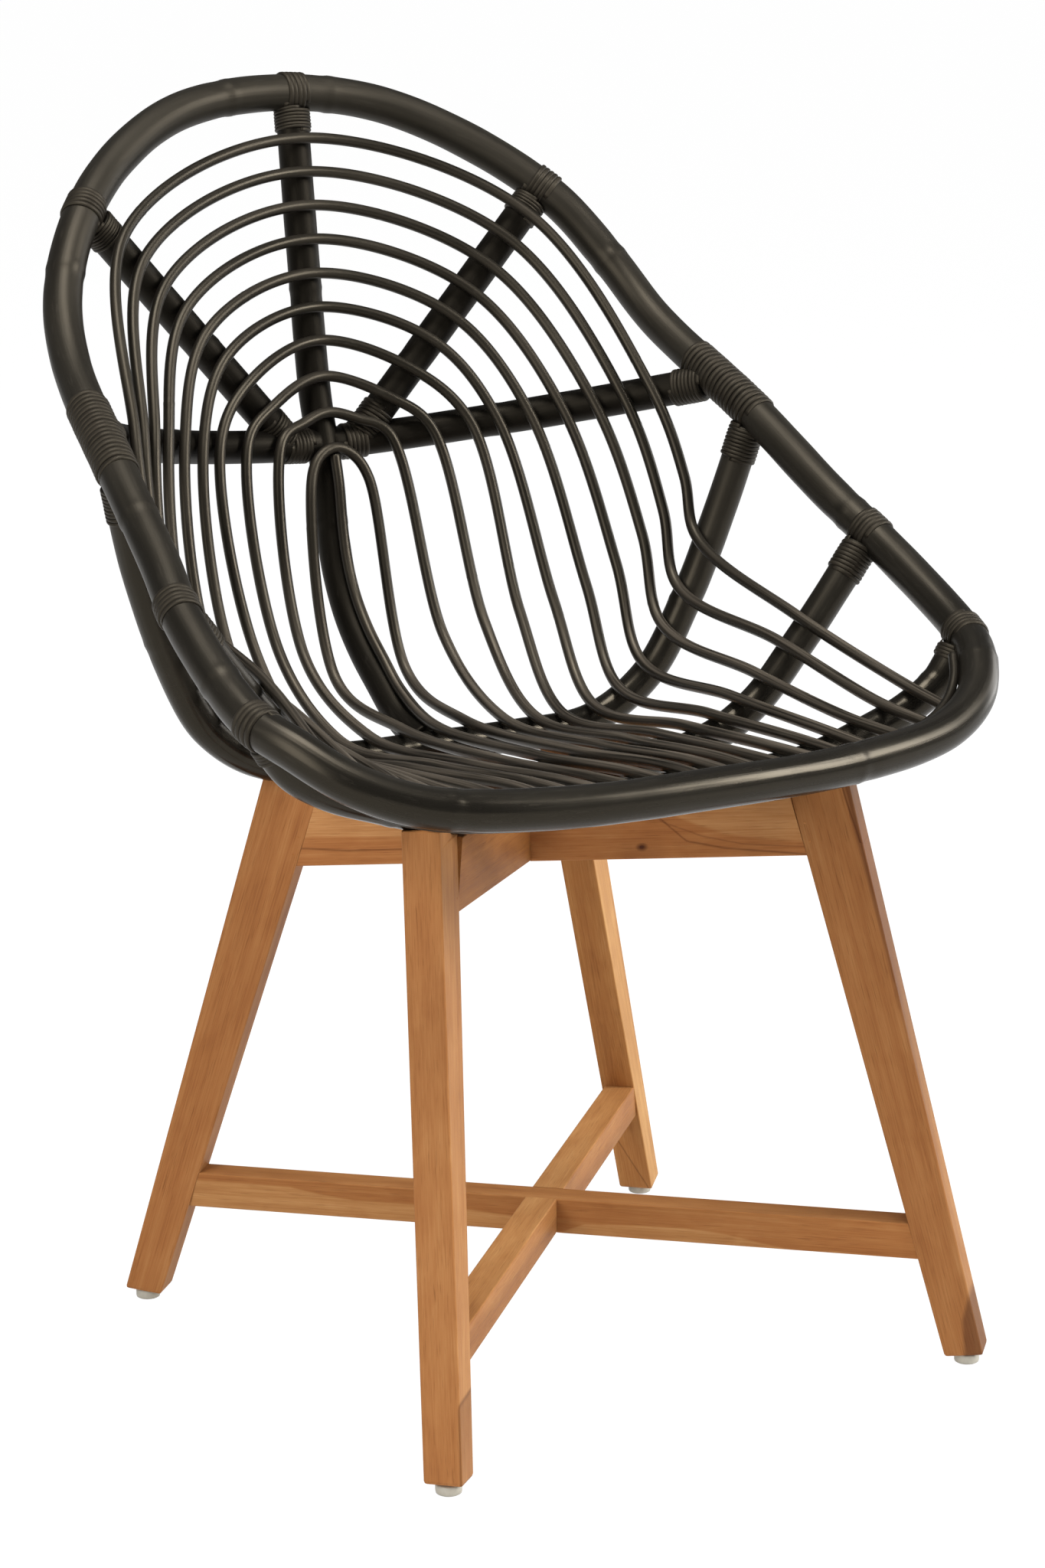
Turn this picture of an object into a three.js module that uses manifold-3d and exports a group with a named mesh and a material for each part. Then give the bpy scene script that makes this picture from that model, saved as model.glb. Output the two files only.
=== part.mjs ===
// A round bucket chair: rattan poles and cores bound to a rim, on a teak base with crossed rails.
// Millimetres, +Z up. The seat opens towards -Y, and the origin is on the floor below the middle.
import * as THREE from "three";
import { mergeVertices } from "three/addons/utils/BufferGeometryUtils.js";
import Module from "manifold-3d";

const wasm = await Module();
wasm.setup();

// Rim: one pole bent into the closed outline of back, arms and seat front
const rimHalfWidth = 286;
const rimDepth = 600;
const rimFrontReach = 212;
const seatFrontHeight = 447;
const backHeight = 873;
const rimRadius = 14;

// Poles behind and below the cores
const poleRadius = 12.5;
const ribRadius = 12.3;
const hubShift = 8;
const fanDrop = 32;
const frontRibReach = 107;
const middleRibReach = 12;
const rearRibReach = 161;
const frontRibDrop = 26;
const rearRibDrop = 41;

// Thin cores that carry the sitter, and the two rods that hold their front ends
const coreRadius = 4.2;
const firstCoreDrop = 37;
const corePitch = 25.3;
const coreRoundness = 25;
const coreRowDrop = 6;
const coreTail = 12;
const innerArchHalfWidth = 24.7;
const innerArchHeight = 25.1;
const trimRadius = 3.4;
const trimMargin = 15;

// Bindings of split cane round the joints
const bindingThickness = 1.6;
const jointBindingLength = 22;
const sideBindingLength = 84;
const poleBindingReach = 40;
const spokeBindingReach = 31;
const hubBindingStart = 7;
const hubBindingEnd = 32;
const fanBindingEnd = 76;

// Legs
const frontFootHalfWidth = 214.6;
const rearFootHalfWidth = 220.2;
const footHalfDepth = 218.4;
const frontLegTopHalfWidth = 158;
const rearLegTopHalfWidth = 114;
const legTopDepth = 45;
const legFootDepth = 28.4;
const legThickness = 26.5;
const footRise = 3.2;
const frontSaddleDepth = 6;
const rearSaddleDepth = 3;

// Rails and stretchers
const railHeight = 50;
const railWidth = 28.6;
const frontRailDrop = 10;
const rearRailDrop = 13.7;
const stretcherHeight = 26.2;
const stretcherWidth = 23.7;
const stretcherTop = 101.5;
const tenonMargin = 7;
const railTenonWidth = 12;
const stretcherTenonWidth = 10;

// Fasteners and glides
const pinRadius = 1.1;
const pinSpread = 12.8;
const pinDrop = 9;
const pinInset = 16.6;
const screwRadius = 2.2;
const screwHeadRadius = 4.4;
const screwHeadHeight = 3;
const screwHeadSink = 4;
const screwGrip = 16;
const glideRadius = 9;
const glideHeight = 7;
const nailRadius = 1.2;
const nailLength = 14;

// Clearance between neighbouring pieces, and the distance within which corners are one
const gap = 0.3;
const weldDistance = 0.001;

// Facets round a section and along a length
const rimSides = 10;
const rimSteps = 80;
const poleSides = 8;
const coreSides = 6;
const stepsPerKnot = 2;
const smallSides = 8;

// Rim outline from its front to its top: shares of half width, depth and height
const rimShares = [
  [0, 0, 0],
  [0.423, 0.012, 0.002],
  [0.724, 0.038, 0.023],
  [0.871, 0.072, 0.061],
  [0.958, 0.123, 0.108],
  [1, 0.182, 0.141],
  [0.997, 0.335, 0.251],
  [0.962, 0.433, 0.333],
  [0.927, 0.57, 0.451],
  [0.864, 0.747, 0.594],
  [0.811, 0.817, 0.695],
  [0.706, 0.873, 0.805],
  [0.521, 0.94, 0.906],
  [0.287, 0.987, 0.977],
  [0, 1, 1],
];

// Places of the joints along the rim, as shares of its length from the front round the right side
const frontJointShare = 0.152;
const middleJointShare = 0.21;
const rearJointShare = 0.277;
const armJointShare = 0.296;
const sideBindingShare = 0.292;
const diagonalJointShare = 0.3965;
const spineJointShare = 0.4938;

// Spine from rim to rear rib: shares of the hub's shift, of the depth between them and of the height
const spineShares = [
  [1.1, 0.898, 0.749],
  [1, 0.827, 0.522],
  [1, 0.779, 0.437],
  [0.9, 0.739, 0.379],
  [0.65, 0.695, 0.291],
  [0.45, 0.642, 0.227],
  [0.3, 0.558, 0.165],
  [0.15, 0.451, 0.116],
  [0, 0.327, 0.073],
  [0, 0.19, 0.026],
];
const hubRow = 2;

// Start of the diagonal spokes on the fan's lines, and bend of the arm spokes: shares of the way from hub to rim in width, depth and height
const fanStartShare = 0.16;
const armBendShares = [0.65, 0.105, 0.18];

// Half of each rib from the rim to the bottom: shares of half width, and of the way up to the joint
const rearRibShares = [
  [1, 1, 1],
  [0.925, 0.6, 0.69],
  [0.826, 0.33, 0.39],
  [0.706, 0.15, 0.152],
  [0.528, 0.04, 0.022],
  [0.264, 0, 0],
  [0, 0, 0],
];
const middleRibShares = [
  [1, 1, 1],
  [0.887, 0.7, 0.722],
  [0.782, 0.4, 0.477],
  [0.655, 0.1, 0.219],
  [0.493, 0, 0.06],
  [0.246, 0, 0.007],
  [0, 0, 0],
];
const frontRibShares = [
  [1, 1, 1],
  [0.919, 0.75, 0.613],
  [0.835, 0.5, 0.42],
  [0.702, 0.25, 0.244],
  [0.526, 0, 0.069],
  [0.263, 0, 0.01],
  [0, 0, 0],
];

// Hairpin cores from the outermost to the innermost: where each one crosses its carriers
const pitchShares = [0, 1, 2, 3, 4, 5, 6, 7.1, 8.26, 9.4];
const diagonalShares = [0.908, 0.823, 0.735, 0.65, 0.565, 0.48, 0.385, 0.29];
const armShares = [0.84, 0.76, 0.68, 0.595, 0.51, 0.425, 0.355, 0.253, 0.14];
const rearShares = [0.753, 0.653, 0.577, 0.488, 0.41, 0.338, 0.26, 0.201, 0.14, 0.065];
const middleShares = [0.757, 0.69, 0.603, 0.521, 0.447, 0.375, 0.3, 0.23, 0.16, 0.085];
const frontShares = [0.79, 0.7, 0.614, 0.543, 0.47, 0.39, 0.3, 0.24, 0.175, 0.1];
const endShares = [0.81, 0.735, 0.65, 0.545, 0.465, 0.4, 0.32, 0.24, 0.16, 0.08];
const bulgeShares = [0.2, 0.35, 0.5, 0.65, 0.8, 1, 1.2, 1.5, 2, 2.1];
const bulgePlaceShare = 0.6;
const centreCoreShares = [0.54, 0.59, 0.65, 0.71, 0.77, 0.83, 0.89];

// Shoulders of the two innermost arches: shares of the width and of the fall from the top
const shoulderShares = { 8: [0.51, 0.355], 9: [0.577, 0.246] };

const up = new THREE.Vector3(0, 0, 1);
const acrossWay = new THREE.Vector3(1, 0, 0);
const sitter = new THREE.Vector3(0, 0, (backHeight + seatFrontHeight) / 2);

// A curve whose steps follow its knots, so that tight bends get short steps
class KnotCurve extends THREE.CatmullRomCurve3 {
  getPointAt(share, target) {
    return this.getPoint(share, target);
  }
  getTangentAt(share, target) {
    return this.getTangent(share, target);
  }
}

// Turns a closed geometry into a solid for cuts and joins
function solidOf(geometry) {
  const bare = geometry.index ? geometry.toNonIndexed() : geometry.clone();
  bare.deleteAttribute("normal");
  bare.deleteAttribute("uv");
  const merged = mergeVertices(bare, weldDistance);
  return new wasm.Manifold(
    new wasm.Mesh({
      numProp: 3,
      vertProperties: merged.attributes.position.array,
      triVerts: Uint32Array.from(merged.index.array),
    }),
  );
}

// Turns a solid back into a geometry
function geometryOf(solid) {
  const mesh = solid.getMesh();
  const geometry = new THREE.BufferGeometry();
  geometry.setAttribute("position", new THREE.BufferAttribute(mesh.vertProperties, 3));
  geometry.setIndex(new THREE.BufferAttribute(mesh.triVerts, 1));
  geometry.computeVertexNormals();
  return geometry;
}

// Takes a list of solids away from one, and keeps the largest body that is left
function cut(solid, others) {
  const left = others.reduce((rest, other) => rest.subtract(other), solid);
  const bodies = left.decompose();
  return bodies.reduce((best, body) => (body.volume() > best.volume() ? body : best));
}

// A pole of round section along an open curve; its solid can be drawn thicker to cut a neighbour
function pole(curve, radius, sides, steps) {
  const solid = (extra = 0) => {
    const section = new THREE.Shape().absarc(0, 0, radius + extra, 0, 2 * Math.PI);
    const settings = { extrudePath: curve, steps, curveSegments: sides / 2 };
    return solidOf(new THREE.ExtrudeGeometry(section, settings));
  };
  return { curve, radius, wraps: [], length: curve.getLength(), solid };
}

// A solid box whose corners are placed by a function of three shares from -1/2 to 1/2
function shapedBox(place) {
  const geometry = new THREE.BoxGeometry(1, 1, 1);
  const corners = geometry.attributes.position;
  for (let i = 0; i < corners.count; i++) {
    const corner = place(corners.getX(i), corners.getY(i), corners.getZ(i));
    corners.setXYZ(i, corner.x, corner.y, corner.z);
  }
  return solidOf(geometry);
}

// A straight timber between two points, with upright ends
function beam(start, end, width, height, extra = 0) {
  const along = end.clone().sub(start).normalize();
  const across = new THREE.Vector3().crossVectors(up, along).normalize();
  return shapedBox((x, y, z) =>
    start
      .clone()
      .lerp(end, x + 1 / 2)
      .addScaledVector(along, 2 * x * extra)
      .addScaledVector(across, y * (width + 2 * extra))
      .addScaledVector(up, z * (height + 2 * extra)),
  );
}

// A cylinder between two points
function rod(start, end, radius) {
  const along = end.clone().sub(start);
  const geometry = new THREE.CylinderGeometry(radius, radius, along.length(), smallSides);
  const turn = new THREE.Quaternion().setFromUnitVectors(
    new THREE.Vector3(0, 1, 0),
    along.clone().normalize(),
  );
  geometry.applyQuaternion(turn);
  const middle = start.clone().lerp(end, 1 / 2);
  geometry.translate(middle.x, middle.y, middle.z);
  return solidOf(geometry);
}

// A box centred on a point, with one axis along a direction
function orientedBox(point, along, length, width) {
  const geometry = new THREE.BoxGeometry(width, width, length);
  geometry.applyQuaternion(new THREE.Quaternion().setFromUnitVectors(up, along));
  geometry.translate(point.x, point.y, point.z);
  return solidOf(geometry);
}

// Rim
function rimPlace([wide, deep, high], side) {
  return new THREE.Vector3(
    side * rimHalfWidth * wide,
    rimDepth * deep - rimFrontReach,
    seatFrontHeight + (backHeight - seatFrontHeight) * high,
  );
}
const rightHalf = rimShares.map((row) => rimPlace(row, 1));
const leftHalf = rimShares.slice(1, -1).map((row) => rimPlace(row, -1));
const rimCurve = new THREE.CatmullRomCurve3([...rightHalf, ...leftHalf.reverse()], true);
rimCurve.arcLengthDivisions = 400;

const rim = {
  curve: rimCurve,
  length: rimCurve.getLength(),
  solid: (extra = 0) =>
    solidOf(new THREE.TubeGeometry(rimCurve, rimSteps, rimRadius + extra, rimSides, true)),
};

// A point of the rim: a share of its length from the front, round the right side or the left one
function rimPoint(share, side) {
  return rimCurve.getPointAt(side > 0 ? share : 1 - share);
}

// Ribs: each half climbs from the bottom to a joint on the rim
function rib(shares, jointShare, reach, height) {
  const half = (side) => {
    const joint = rimPoint(jointShare, side);
    return shares.map(
      ([wide, deep, high]) =>
        new THREE.Vector3(
          joint.x * wide,
          reach + (joint.y - reach) * deep,
          height + (joint.z - height) * high,
        ),
    );
  };
  const places = [...half(-1), ...half(1).reverse().slice(1)];
  return pole(new KnotCurve(places), ribRadius, poleSides, stepsPerKnot * (places.length - 1));
}

// The point of a rib that lies at a given width from the middle
function pointAtWidth(carrier, width) {
  const places = carrier.curve.getPoints(40 * stepsPerKnot);
  return places.reduce((best, place) =>
    Math.abs(place.x - width) < Math.abs(best.x - width) ? place : best,
  );
}

const rearRibHeight = seatFrontHeight - rearRibDrop;
const frontRibHeight = seatFrontHeight - frontRibDrop;
const rearRib = rib(rearRibShares, rearJointShare, rearRibReach, rearRibHeight);
const frontRib = rib(frontRibShares, frontJointShare, -frontRibReach, frontRibHeight);

// Legs: the head of each one bears a rib, and its broad section points along the diagonal. Its
// foot is cut aslant: the outer edge is higher than the inner one, and the rim of the glide's
// disc almost touches it
const footHeight = glideHeight + gap - footRise * (1 / 2 - glideRadius / legFootDepth);
function legAxis(carrier, side, topHalfWidth, footHalfWidth, footY) {
  const bearing = pointAtWidth(carrier, side * topHalfWidth);
  const saddleDepth = footY < 0 ? frontSaddleDepth : rearSaddleDepth;
  const head = bearing.clone().addScaledVector(up, saddleDepth - ribRadius);
  const foot = new THREE.Vector3(side * footHalfWidth, footY, footHeight);
  return { bearing, head, foot };
}
const legAxes = {
  front_left: legAxis(frontRib, -1, frontLegTopHalfWidth, frontFootHalfWidth, -footHalfDepth),
  front_right: legAxis(frontRib, 1, frontLegTopHalfWidth, frontFootHalfWidth, -footHalfDepth),
  rear_left: legAxis(rearRib, -1, rearLegTopHalfWidth, rearFootHalfWidth, footHalfDepth),
  rear_right: legAxis(rearRib, 1, rearLegTopHalfWidth, rearFootHalfWidth, footHalfDepth),
};
const opposite = {
  front_left: "rear_right",
  front_right: "rear_left",
  rear_left: "front_right",
  rear_right: "front_left",
};
for (const name in legAxes) {
  const leg = legAxes[name];
  const other = legAxes[opposite[name]];
  const inward = other.foot.clone().sub(leg.foot).normalize();
  inward.add(other.head.clone().sub(leg.head).normalize());
  leg.inward = inward.setZ(0).normalize();
  leg.sideways = new THREE.Vector3().crossVectors(up, leg.inward);
}

// The point on a leg's centre line at a given height
function legPoint(leg, height) {
  return leg.foot.clone().lerp(leg.head, (height - leg.foot.z) / (leg.head.z - leg.foot.z));
}

function legSolid(leg, extra = 0) {
  const riseShare = footRise / (leg.head.z - leg.foot.z);
  return shapedBox((x, y, z) => {
    const share = z + 1 / 2 + (1 / 2 - z) * (1 / 2 - x) * riseShare;
    const depth = legFootDepth + (legTopDepth - legFootDepth) * share + 2 * extra;
    return leg.foot
      .clone()
      .lerp(leg.head, share)
      .addScaledVector(leg.inward, x * depth)
      .addScaledVector(leg.sideways, y * (legThickness + 2 * extra))
      .addScaledVector(up, 2 * z * extra);
  });
}

// Crossed timbers: each one runs from a front leg to the rear leg opposite, with tenons in both
function crossTimber(frontName, dropFrom, width, height, tenonWidth) {
  const front = legAxes[frontName];
  const rear = legAxes[opposite[frontName]];
  const start = legPoint(front, dropFrom(front) - height / 2);
  const end = legPoint(rear, dropFrom(rear) - height / 2);
  const tenonHeight = height - 2 * tenonMargin;
  const legsAround = (extra) => legSolid(front, extra).add(legSolid(rear, extra));
  return {
    start,
    end,
    tenons: (extra = 0) =>
      beam(start, end, tenonWidth, tenonHeight, extra).intersect(legsAround(2 * gap)),
    body: (extra = 0) =>
      cut(beam(start, end, width, height, extra), [legsAround(gap - extra)]),
  };
}
const railTop = (leg) => leg.head.z - (leg.foot.y < 0 ? frontRailDrop : rearRailDrop);
const rails = ["front_right", "front_left"].map((name) =>
  crossTimber(name, railTop, railWidth, railHeight, railTenonWidth),
);
const stretchers = ["front_right", "front_left"].map((name) =>
  crossTimber(name, () => stretcherTop, stretcherWidth, stretcherHeight, stretcherTenonWidth),
);

// The middle rib rests in a shallow saddle on the crossed rails
function railTopAt(reach) {
  const { start, end } = rails[0];
  const share = (reach - start.y) / (end.y - start.y);
  return start.z + (end.z - start.z) * share + railHeight / 2;
}
const middleRibHeight = railTopAt(middleRibReach) + ribRadius - rearSaddleDepth / 2;
const middleRib = rib(middleRibShares, middleJointShare, middleRibReach, middleRibHeight);
const ribs = { rear_rib: rearRib, middle_rib: middleRib, front_rib: frontRib };

// Spine: from the top of the rim, through the hub, down to the middle of the rear rib
const spineTop = rimPoint(spineJointShare, 1);
const spineFoot = new THREE.Vector3(0, rearRibReach, rearRibHeight);
const spinePlaces = spineShares.map(
  ([sideways, deep, high]) =>
    new THREE.Vector3(
      hubShift * sideways,
      spineFoot.y + (spineTop.y - spineFoot.y) * deep,
      spineFoot.z + (spineTop.z - spineFoot.z) * high,
    ),
);
const hub = spinePlaces[hubRow];
const backWay = spinePlaces[hubRow + 1].clone().sub(spinePlaces[hubRow - 1]);
const spine = pole(
  new KnotCurve([spineTop, ...spinePlaces, spineFoot]),
  poleRadius,
  poleSides,
  2 * (spinePlaces.length + 1),
);

// Spokes: straight ones fan out to the upper rim, bent ones reach forward to the arms
function diagonalSpoke(side) {
  const fanCentre = hub.clone().addScaledVector(up, -fanDrop);
  const end = rimPoint(diagonalJointShare, side);
  const start = fanCentre.clone().lerp(end, fanStartShare);
  const spoke = pole(new THREE.LineCurve3(fanCentre, end), poleRadius, poleSides, 1);
  spoke.solid = pole(new THREE.LineCurve3(start, end), poleRadius, poleSides, 1).solid;
  spoke.wraps = [
    [0, fanBindingEnd],
    [spoke.length - spokeBindingReach, spoke.length],
  ];
  return spoke;
}
function armSpoke(side) {
  const end = rimPoint(armJointShare, side);
  const start = hub.clone();
  start.x += (side * poleRadius) / 2;
  const [wide, deep, high] = armBendShares;
  const bend = new THREE.Vector3(
    hub.x + (end.x - hub.x) * wide,
    hub.y + (end.y - hub.y) * deep,
    hub.z + (end.z - hub.z) * high,
  );
  const curve = new THREE.QuadraticBezierCurve3(start, bend, end);
  const spoke = pole(curve, poleRadius, poleSides, 4 * stepsPerKnot);
  spoke.wraps = [[hubBindingStart, hubBindingEnd]];
  return spoke;
}
const sideNames = { left: -1, right: 1 };
const diagonals = { left: diagonalSpoke(-1), right: diagonalSpoke(1) };
const arms = { left: armSpoke(-1), right: armSpoke(1) };

// The point and direction of a pole at a distance along it, with the height that a core rides there
function crossing(carrier, distance) {
  const share = distance / carrier.length;
  const wrapped = carrier.wraps.some(([from, to]) => distance > from && distance < to);
  return {
    point: THREE.Curve.prototype.getPointAt.call(carrier.curve, share),
    along: THREE.Curve.prototype.getTangentAt.call(carrier.curve, share),
    lift: carrier.radius + coreRadius + 2 * gap + (wrapped ? bindingThickness + gap : 0),
  };
}

// The same for half a rib, measured as a share of the way from its bottom to the rim
function ribCrossing(carrier, share, side) {
  return crossing(carrier, (carrier.length / 2) * (1 + side * share));
}

// Lifts a core off its carrier towards the sitter, square to the carrier and to the core's own way
function ride({ point, along, lift }, way) {
  const normal = new THREE.Vector3().crossVectors(along, way).normalize();
  if (normal.dot(sitter.clone().sub(point)) < 0) normal.negate();
  return point.clone().addScaledVector(normal, lift);
}

// Directions square to the rim at a place: into the seat, and upwards
function rimFrame(share, side) {
  const point = rimPoint(share, side);
  const along = rimCurve.getTangentAt(side > 0 ? share : 1 - share);
  const upward = up.clone().addScaledVector(along, -up.dot(along)).normalize();
  const inward = new THREE.Vector3().crossVectors(upward, along).normalize();
  return { point, inward, upward };
}

// The trim rods and the cores' ends reach round the front until they near the front rib's binding
const sleeve = gap + bindingThickness;
const trimReach = rim.length * frontJointShare - ribRadius - sleeve - trimRadius - trimMargin;

// A place beside the rim, at a height above its centre line and touching it
function besideRim(share, side, radius, lift) {
  const { point, inward, upward } = rimFrame(share, side);
  const reach = Math.sqrt((rimRadius + radius + gap) ** 2 - lift ** 2);
  return point.addScaledVector(inward, reach).addScaledVector(upward, lift);
}

// The front end of a core lies between the two trim rods, and its tail points back to the last rib
function coreEnd(share, side, from) {
  const rimShare = (share * trimReach) / rim.length;
  const { point, inward, upward } = rimFrame(rimShare, side);
  const reach = Math.sqrt(rimRadius ** 2 - coreRowDrop ** 2) - gap;
  const end = point.addScaledVector(inward, reach).addScaledVector(upward, -coreRowDrop);
  const back = from.clone().sub(end);
  back.addScaledVector(upward, -back.dot(upward)).normalize();
  return [end.clone().addScaledVector(back, coreTail + trimRadius), end];
}

// Where a core hangs free between two carriers, it swells away from the sitter
function bulge(upper, lower, swell) {
  const way = lower.point.clone().sub(upper.point).normalize();
  const point = upper.point.clone().lerp(lower.point, bulgePlaceShare);
  const outward = point.clone().sub(sitter);
  outward.addScaledVector(way, -outward.dot(way)).normalize();
  return { point: point.addScaledVector(outward, swell - upper.lift), lift: 0 };
}

// The innermost arch comes down beside the spine, short of the arm spokes' middles
function archFlank(side, apex, top) {
  const point = top.clone().addScaledVector(acrossWay, side * innerArchHalfWidth);
  return { point: point.addScaledVector(apex.along, innerArchHeight), lift: 0 };
}

// The shoulder of an arch, between its top and the next place on one side
function archShoulder([wide, deep], top, next) {
  const fall = next.clone().sub(top);
  const width = fall.dot(acrossWay);
  fall.addScaledVector(acrossWay, -width);
  return top.clone().addScaledVector(acrossWay, width * wide).addScaledVector(fall, deep);
}

// One side of a hairpin core, from beside the spine to the seat front
function hairpinSide(index, side, apex, top) {
  const name = side > 0 ? "right" : "left";
  const onBack = [];
  if (index < diagonalShares.length) {
    const diagonal = diagonals[name];
    onBack.push(crossing(diagonal, diagonal.length * diagonalShares[index]));
  }
  const onArm =
    index < armShares.length
      ? crossing(arms[name], arms[name].length * armShares[index])
      : archFlank(side, apex, top);
  onBack.push(onArm);
  const onSeat = [
    ribCrossing(rearRib, rearShares[index], side),
    ribCrossing(middleRib, middleShares[index], side),
    ribCrossing(frontRib, frontShares[index], side),
  ];
  const free = bulge(onArm, onSeat[0], coreRoundness * bulgeShares[index]);
  const stations = [...onBack, free, ...onSeat];
  const endPoint = rimPoint((endShares[index] * trimReach) / rim.length, side);
  const places = stations.map((station, i) => {
    if (!station.lift) return station.point;
    if (station === onArm) return ride(onArm, backWay);
    const before = i ? stations[i - 1].point : apex.point;
    const after = i + 1 < stations.length ? stations[i + 1].point : endPoint;
    return ride(station, after.clone().sub(before));
  });
  if (index in shoulderShares) {
    places.unshift(archShoulder(shoulderShares[index], top, places[0]));
  }
  return [...places, ...coreEnd(endShares[index], side, places.at(-1))];
}

// A hairpin core turns over the spine and comes down on both sides
function hairpin(index) {
  const apex = crossing(spine, firstCoreDrop + corePitch * pitchShares[index]);
  if (index === armShares.length) apex.lift += bindingThickness + gap;
  const top = ride(apex, acrossWay);
  const right = hairpinSide(index, 1, apex, top);
  const left = hairpinSide(index, -1, apex, top);
  const places = [...left.reverse(), top, ...right];
  return pole(new KnotCurve(places), coreRadius, coreSides, stepsPerKnot * (places.length - 1));
}
const hairpins = pitchShares.map((share, index) => hairpin(index));

// The centre core follows the spine down from below the innermost arch and crosses the three ribs
function centreCore() {
  const arch = firstCoreDrop + corePitch * pitchShares.at(-1);
  const start = arch + coreRadius + 4 * gap;
  const runs = centreCoreShares.map((share) => spine.length * share);
  const onSpine = [start, ...runs].map((run) => {
    const { point, along, lift } = crossing(spine, run);
    const normal = new THREE.Vector3().crossVectors(along, acrossWay).normalize();
    return point.addScaledVector(normal, lift);
  });
  const onRibs = [rearRib, middleRib, frontRib].map((carrier) => {
    const { point, lift } = ribCrossing(carrier, 0, 1);
    return point.addScaledVector(up, lift);
  });
  const places = [...onSpine, ...onRibs, ...coreEnd(0, 1, onRibs.at(-1))];
  return pole(new KnotCurve(places), coreRadius, coreSides, 2 * (places.length - 1));
}
const cores = { centre_core: centreCore() };
hairpins.forEach((core, index) => {
  cores["hairpin_core_" + String(index + 1).padStart(2, "0")] = core;
});

// Trim rods run along the inner side of the rim, above and below the front ends of the cores
function trimRod(lift) {
  const knots = 12;
  const places = [];
  for (let i = -knots; i <= knots; i++) {
    const share = (Math.abs(i) * trimReach) / (knots * rim.length);
    places.push(besideRim(share, i < 0 ? -1 : 1, trimRadius, lift));
  }
  return pole(new KnotCurve(places), trimRadius, coreSides, 2 * knots);
}
const rodSpread = coreRadius + trimRadius + gap;
const trims = {
  upper_trim_rod: trimRod(rodSpread - coreRowDrop),
  lower_trim_rod: trimRod(-rodSpread - coreRowDrop),
};

// Sleeves of cane: one round a stretch of the rim, one round the end of a pole that meets it
function rimSleeve(share, side, length) {
  const along = rimCurve.getTangentAt(side > 0 ? share : 1 - share);
  const box = orientedBox(rimPoint(share, side), along, length, 4 * rimRadius);
  return rim.solid(sleeve).intersect(box);
}
function poleSleeve(carrier, from, to) {
  const { point, along } = crossing(carrier, (from + to) / 2);
  const box = orientedBox(point, along, to - from, 4 * poleRadius);
  return carrier.solid(sleeve).intersect(box);
}
function jointBinding(share, side, length, ends) {
  const sleeves = ends.map(({ carrier, atStart, reach }) =>
    atStart
      ? poleSleeve(carrier, 0, reach)
      : poleSleeve(carrier, carrier.length - reach, carrier.length),
  );
  const joined = sleeves.reduce((sum, one) => sum.add(one), rimSleeve(share, side, length));
  return cut(joined, [rim.solid(gap), ...ends.map(({ carrier }) => carrier.solid(gap))]);
}
// At the hub one binding holds the inner ends of an arm spoke and the diagonal spoke above it
function hubBinding(arm, diagonal) {
  const onArm = poleSleeve(arm, hubBindingStart, hubBindingEnd);
  const onDiagonal = poleSleeve(diagonal, fanStartShare * diagonal.length, fanBindingEnd);
  const clearances = [arm, diagonal, spine].map((carrier) => carrier.solid(gap));
  return cut(onArm.add(onDiagonal), clearances);
}

const spineEnd = { carrier: spine, atStart: true, reach: spokeBindingReach };
const bindings = {
  binding_top: jointBinding(spineJointShare, 1, jointBindingLength, [spineEnd]),
};
for (const [name, side] of Object.entries(sideNames)) {
  const ribEnd = (carrier) => ({ carrier, atStart: side < 0, reach: poleBindingReach });
  const spokeEnd = { carrier: diagonals[name], atStart: false, reach: spokeBindingReach };
  const armEnd = { carrier: arms[name], atStart: false, reach: poleBindingReach };
  const diagonal = [diagonalJointShare, side, jointBindingLength, [spokeEnd]];
  const arm = [sideBindingShare, side, sideBindingLength, [armEnd, ribEnd(rearRib)]];
  bindings["binding_diagonal_" + name] = jointBinding(...diagonal);
  bindings["binding_arm_" + name] = jointBinding(...arm);
  for (const [place, share, carrier] of [
    ["middle", middleJointShare, middleRib],
    ["front", frontJointShare, frontRib],
  ]) {
    const key = "binding_" + place + "_" + name;
    bindings[key] = jointBinding(share, side, jointBindingLength, [ribEnd(carrier)]);
  }
  bindings["binding_hub_" + name] = hubBinding(arms[name], diagonals[name]);
}

// Screws: each one goes down through a rib into the head of a leg
function screwProfile(extra) {
  const head = screwHeadRadius + extra;
  const shank = screwRadius + extra;
  return [
    new THREE.Vector2(0, -screwHeadHeight - ribRadius - screwGrip - extra),
    new THREE.Vector2(shank, -screwHeadHeight - ribRadius - screwGrip - extra),
    new THREE.Vector2(shank, -screwHeadHeight - extra),
    new THREE.Vector2(head, -extra),
    new THREE.Vector2(head, extra),
    new THREE.Vector2(0, extra),
  ];
}
function turned(profile, place) {
  const geometry = new THREE.LatheGeometry(profile, smallSides);
  geometry.rotateX(Math.PI / 2);
  geometry.translate(place.x, place.y, place.z);
  return solidOf(geometry);
}
function screwPlace(leg) {
  return leg.bearing.clone().addScaledVector(up, ribRadius - screwHeadSink);
}
function screwSolid(leg, extra = 0) {
  return turned(screwProfile(extra), screwPlace(leg));
}
function screwBore(leg) {
  const top = screwPlace(leg);
  const mouth = rod(top, top.clone().addScaledVector(up, ribRadius), screwHeadRadius + gap);
  return screwSolid(leg, gap).add(mouth);
}

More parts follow.
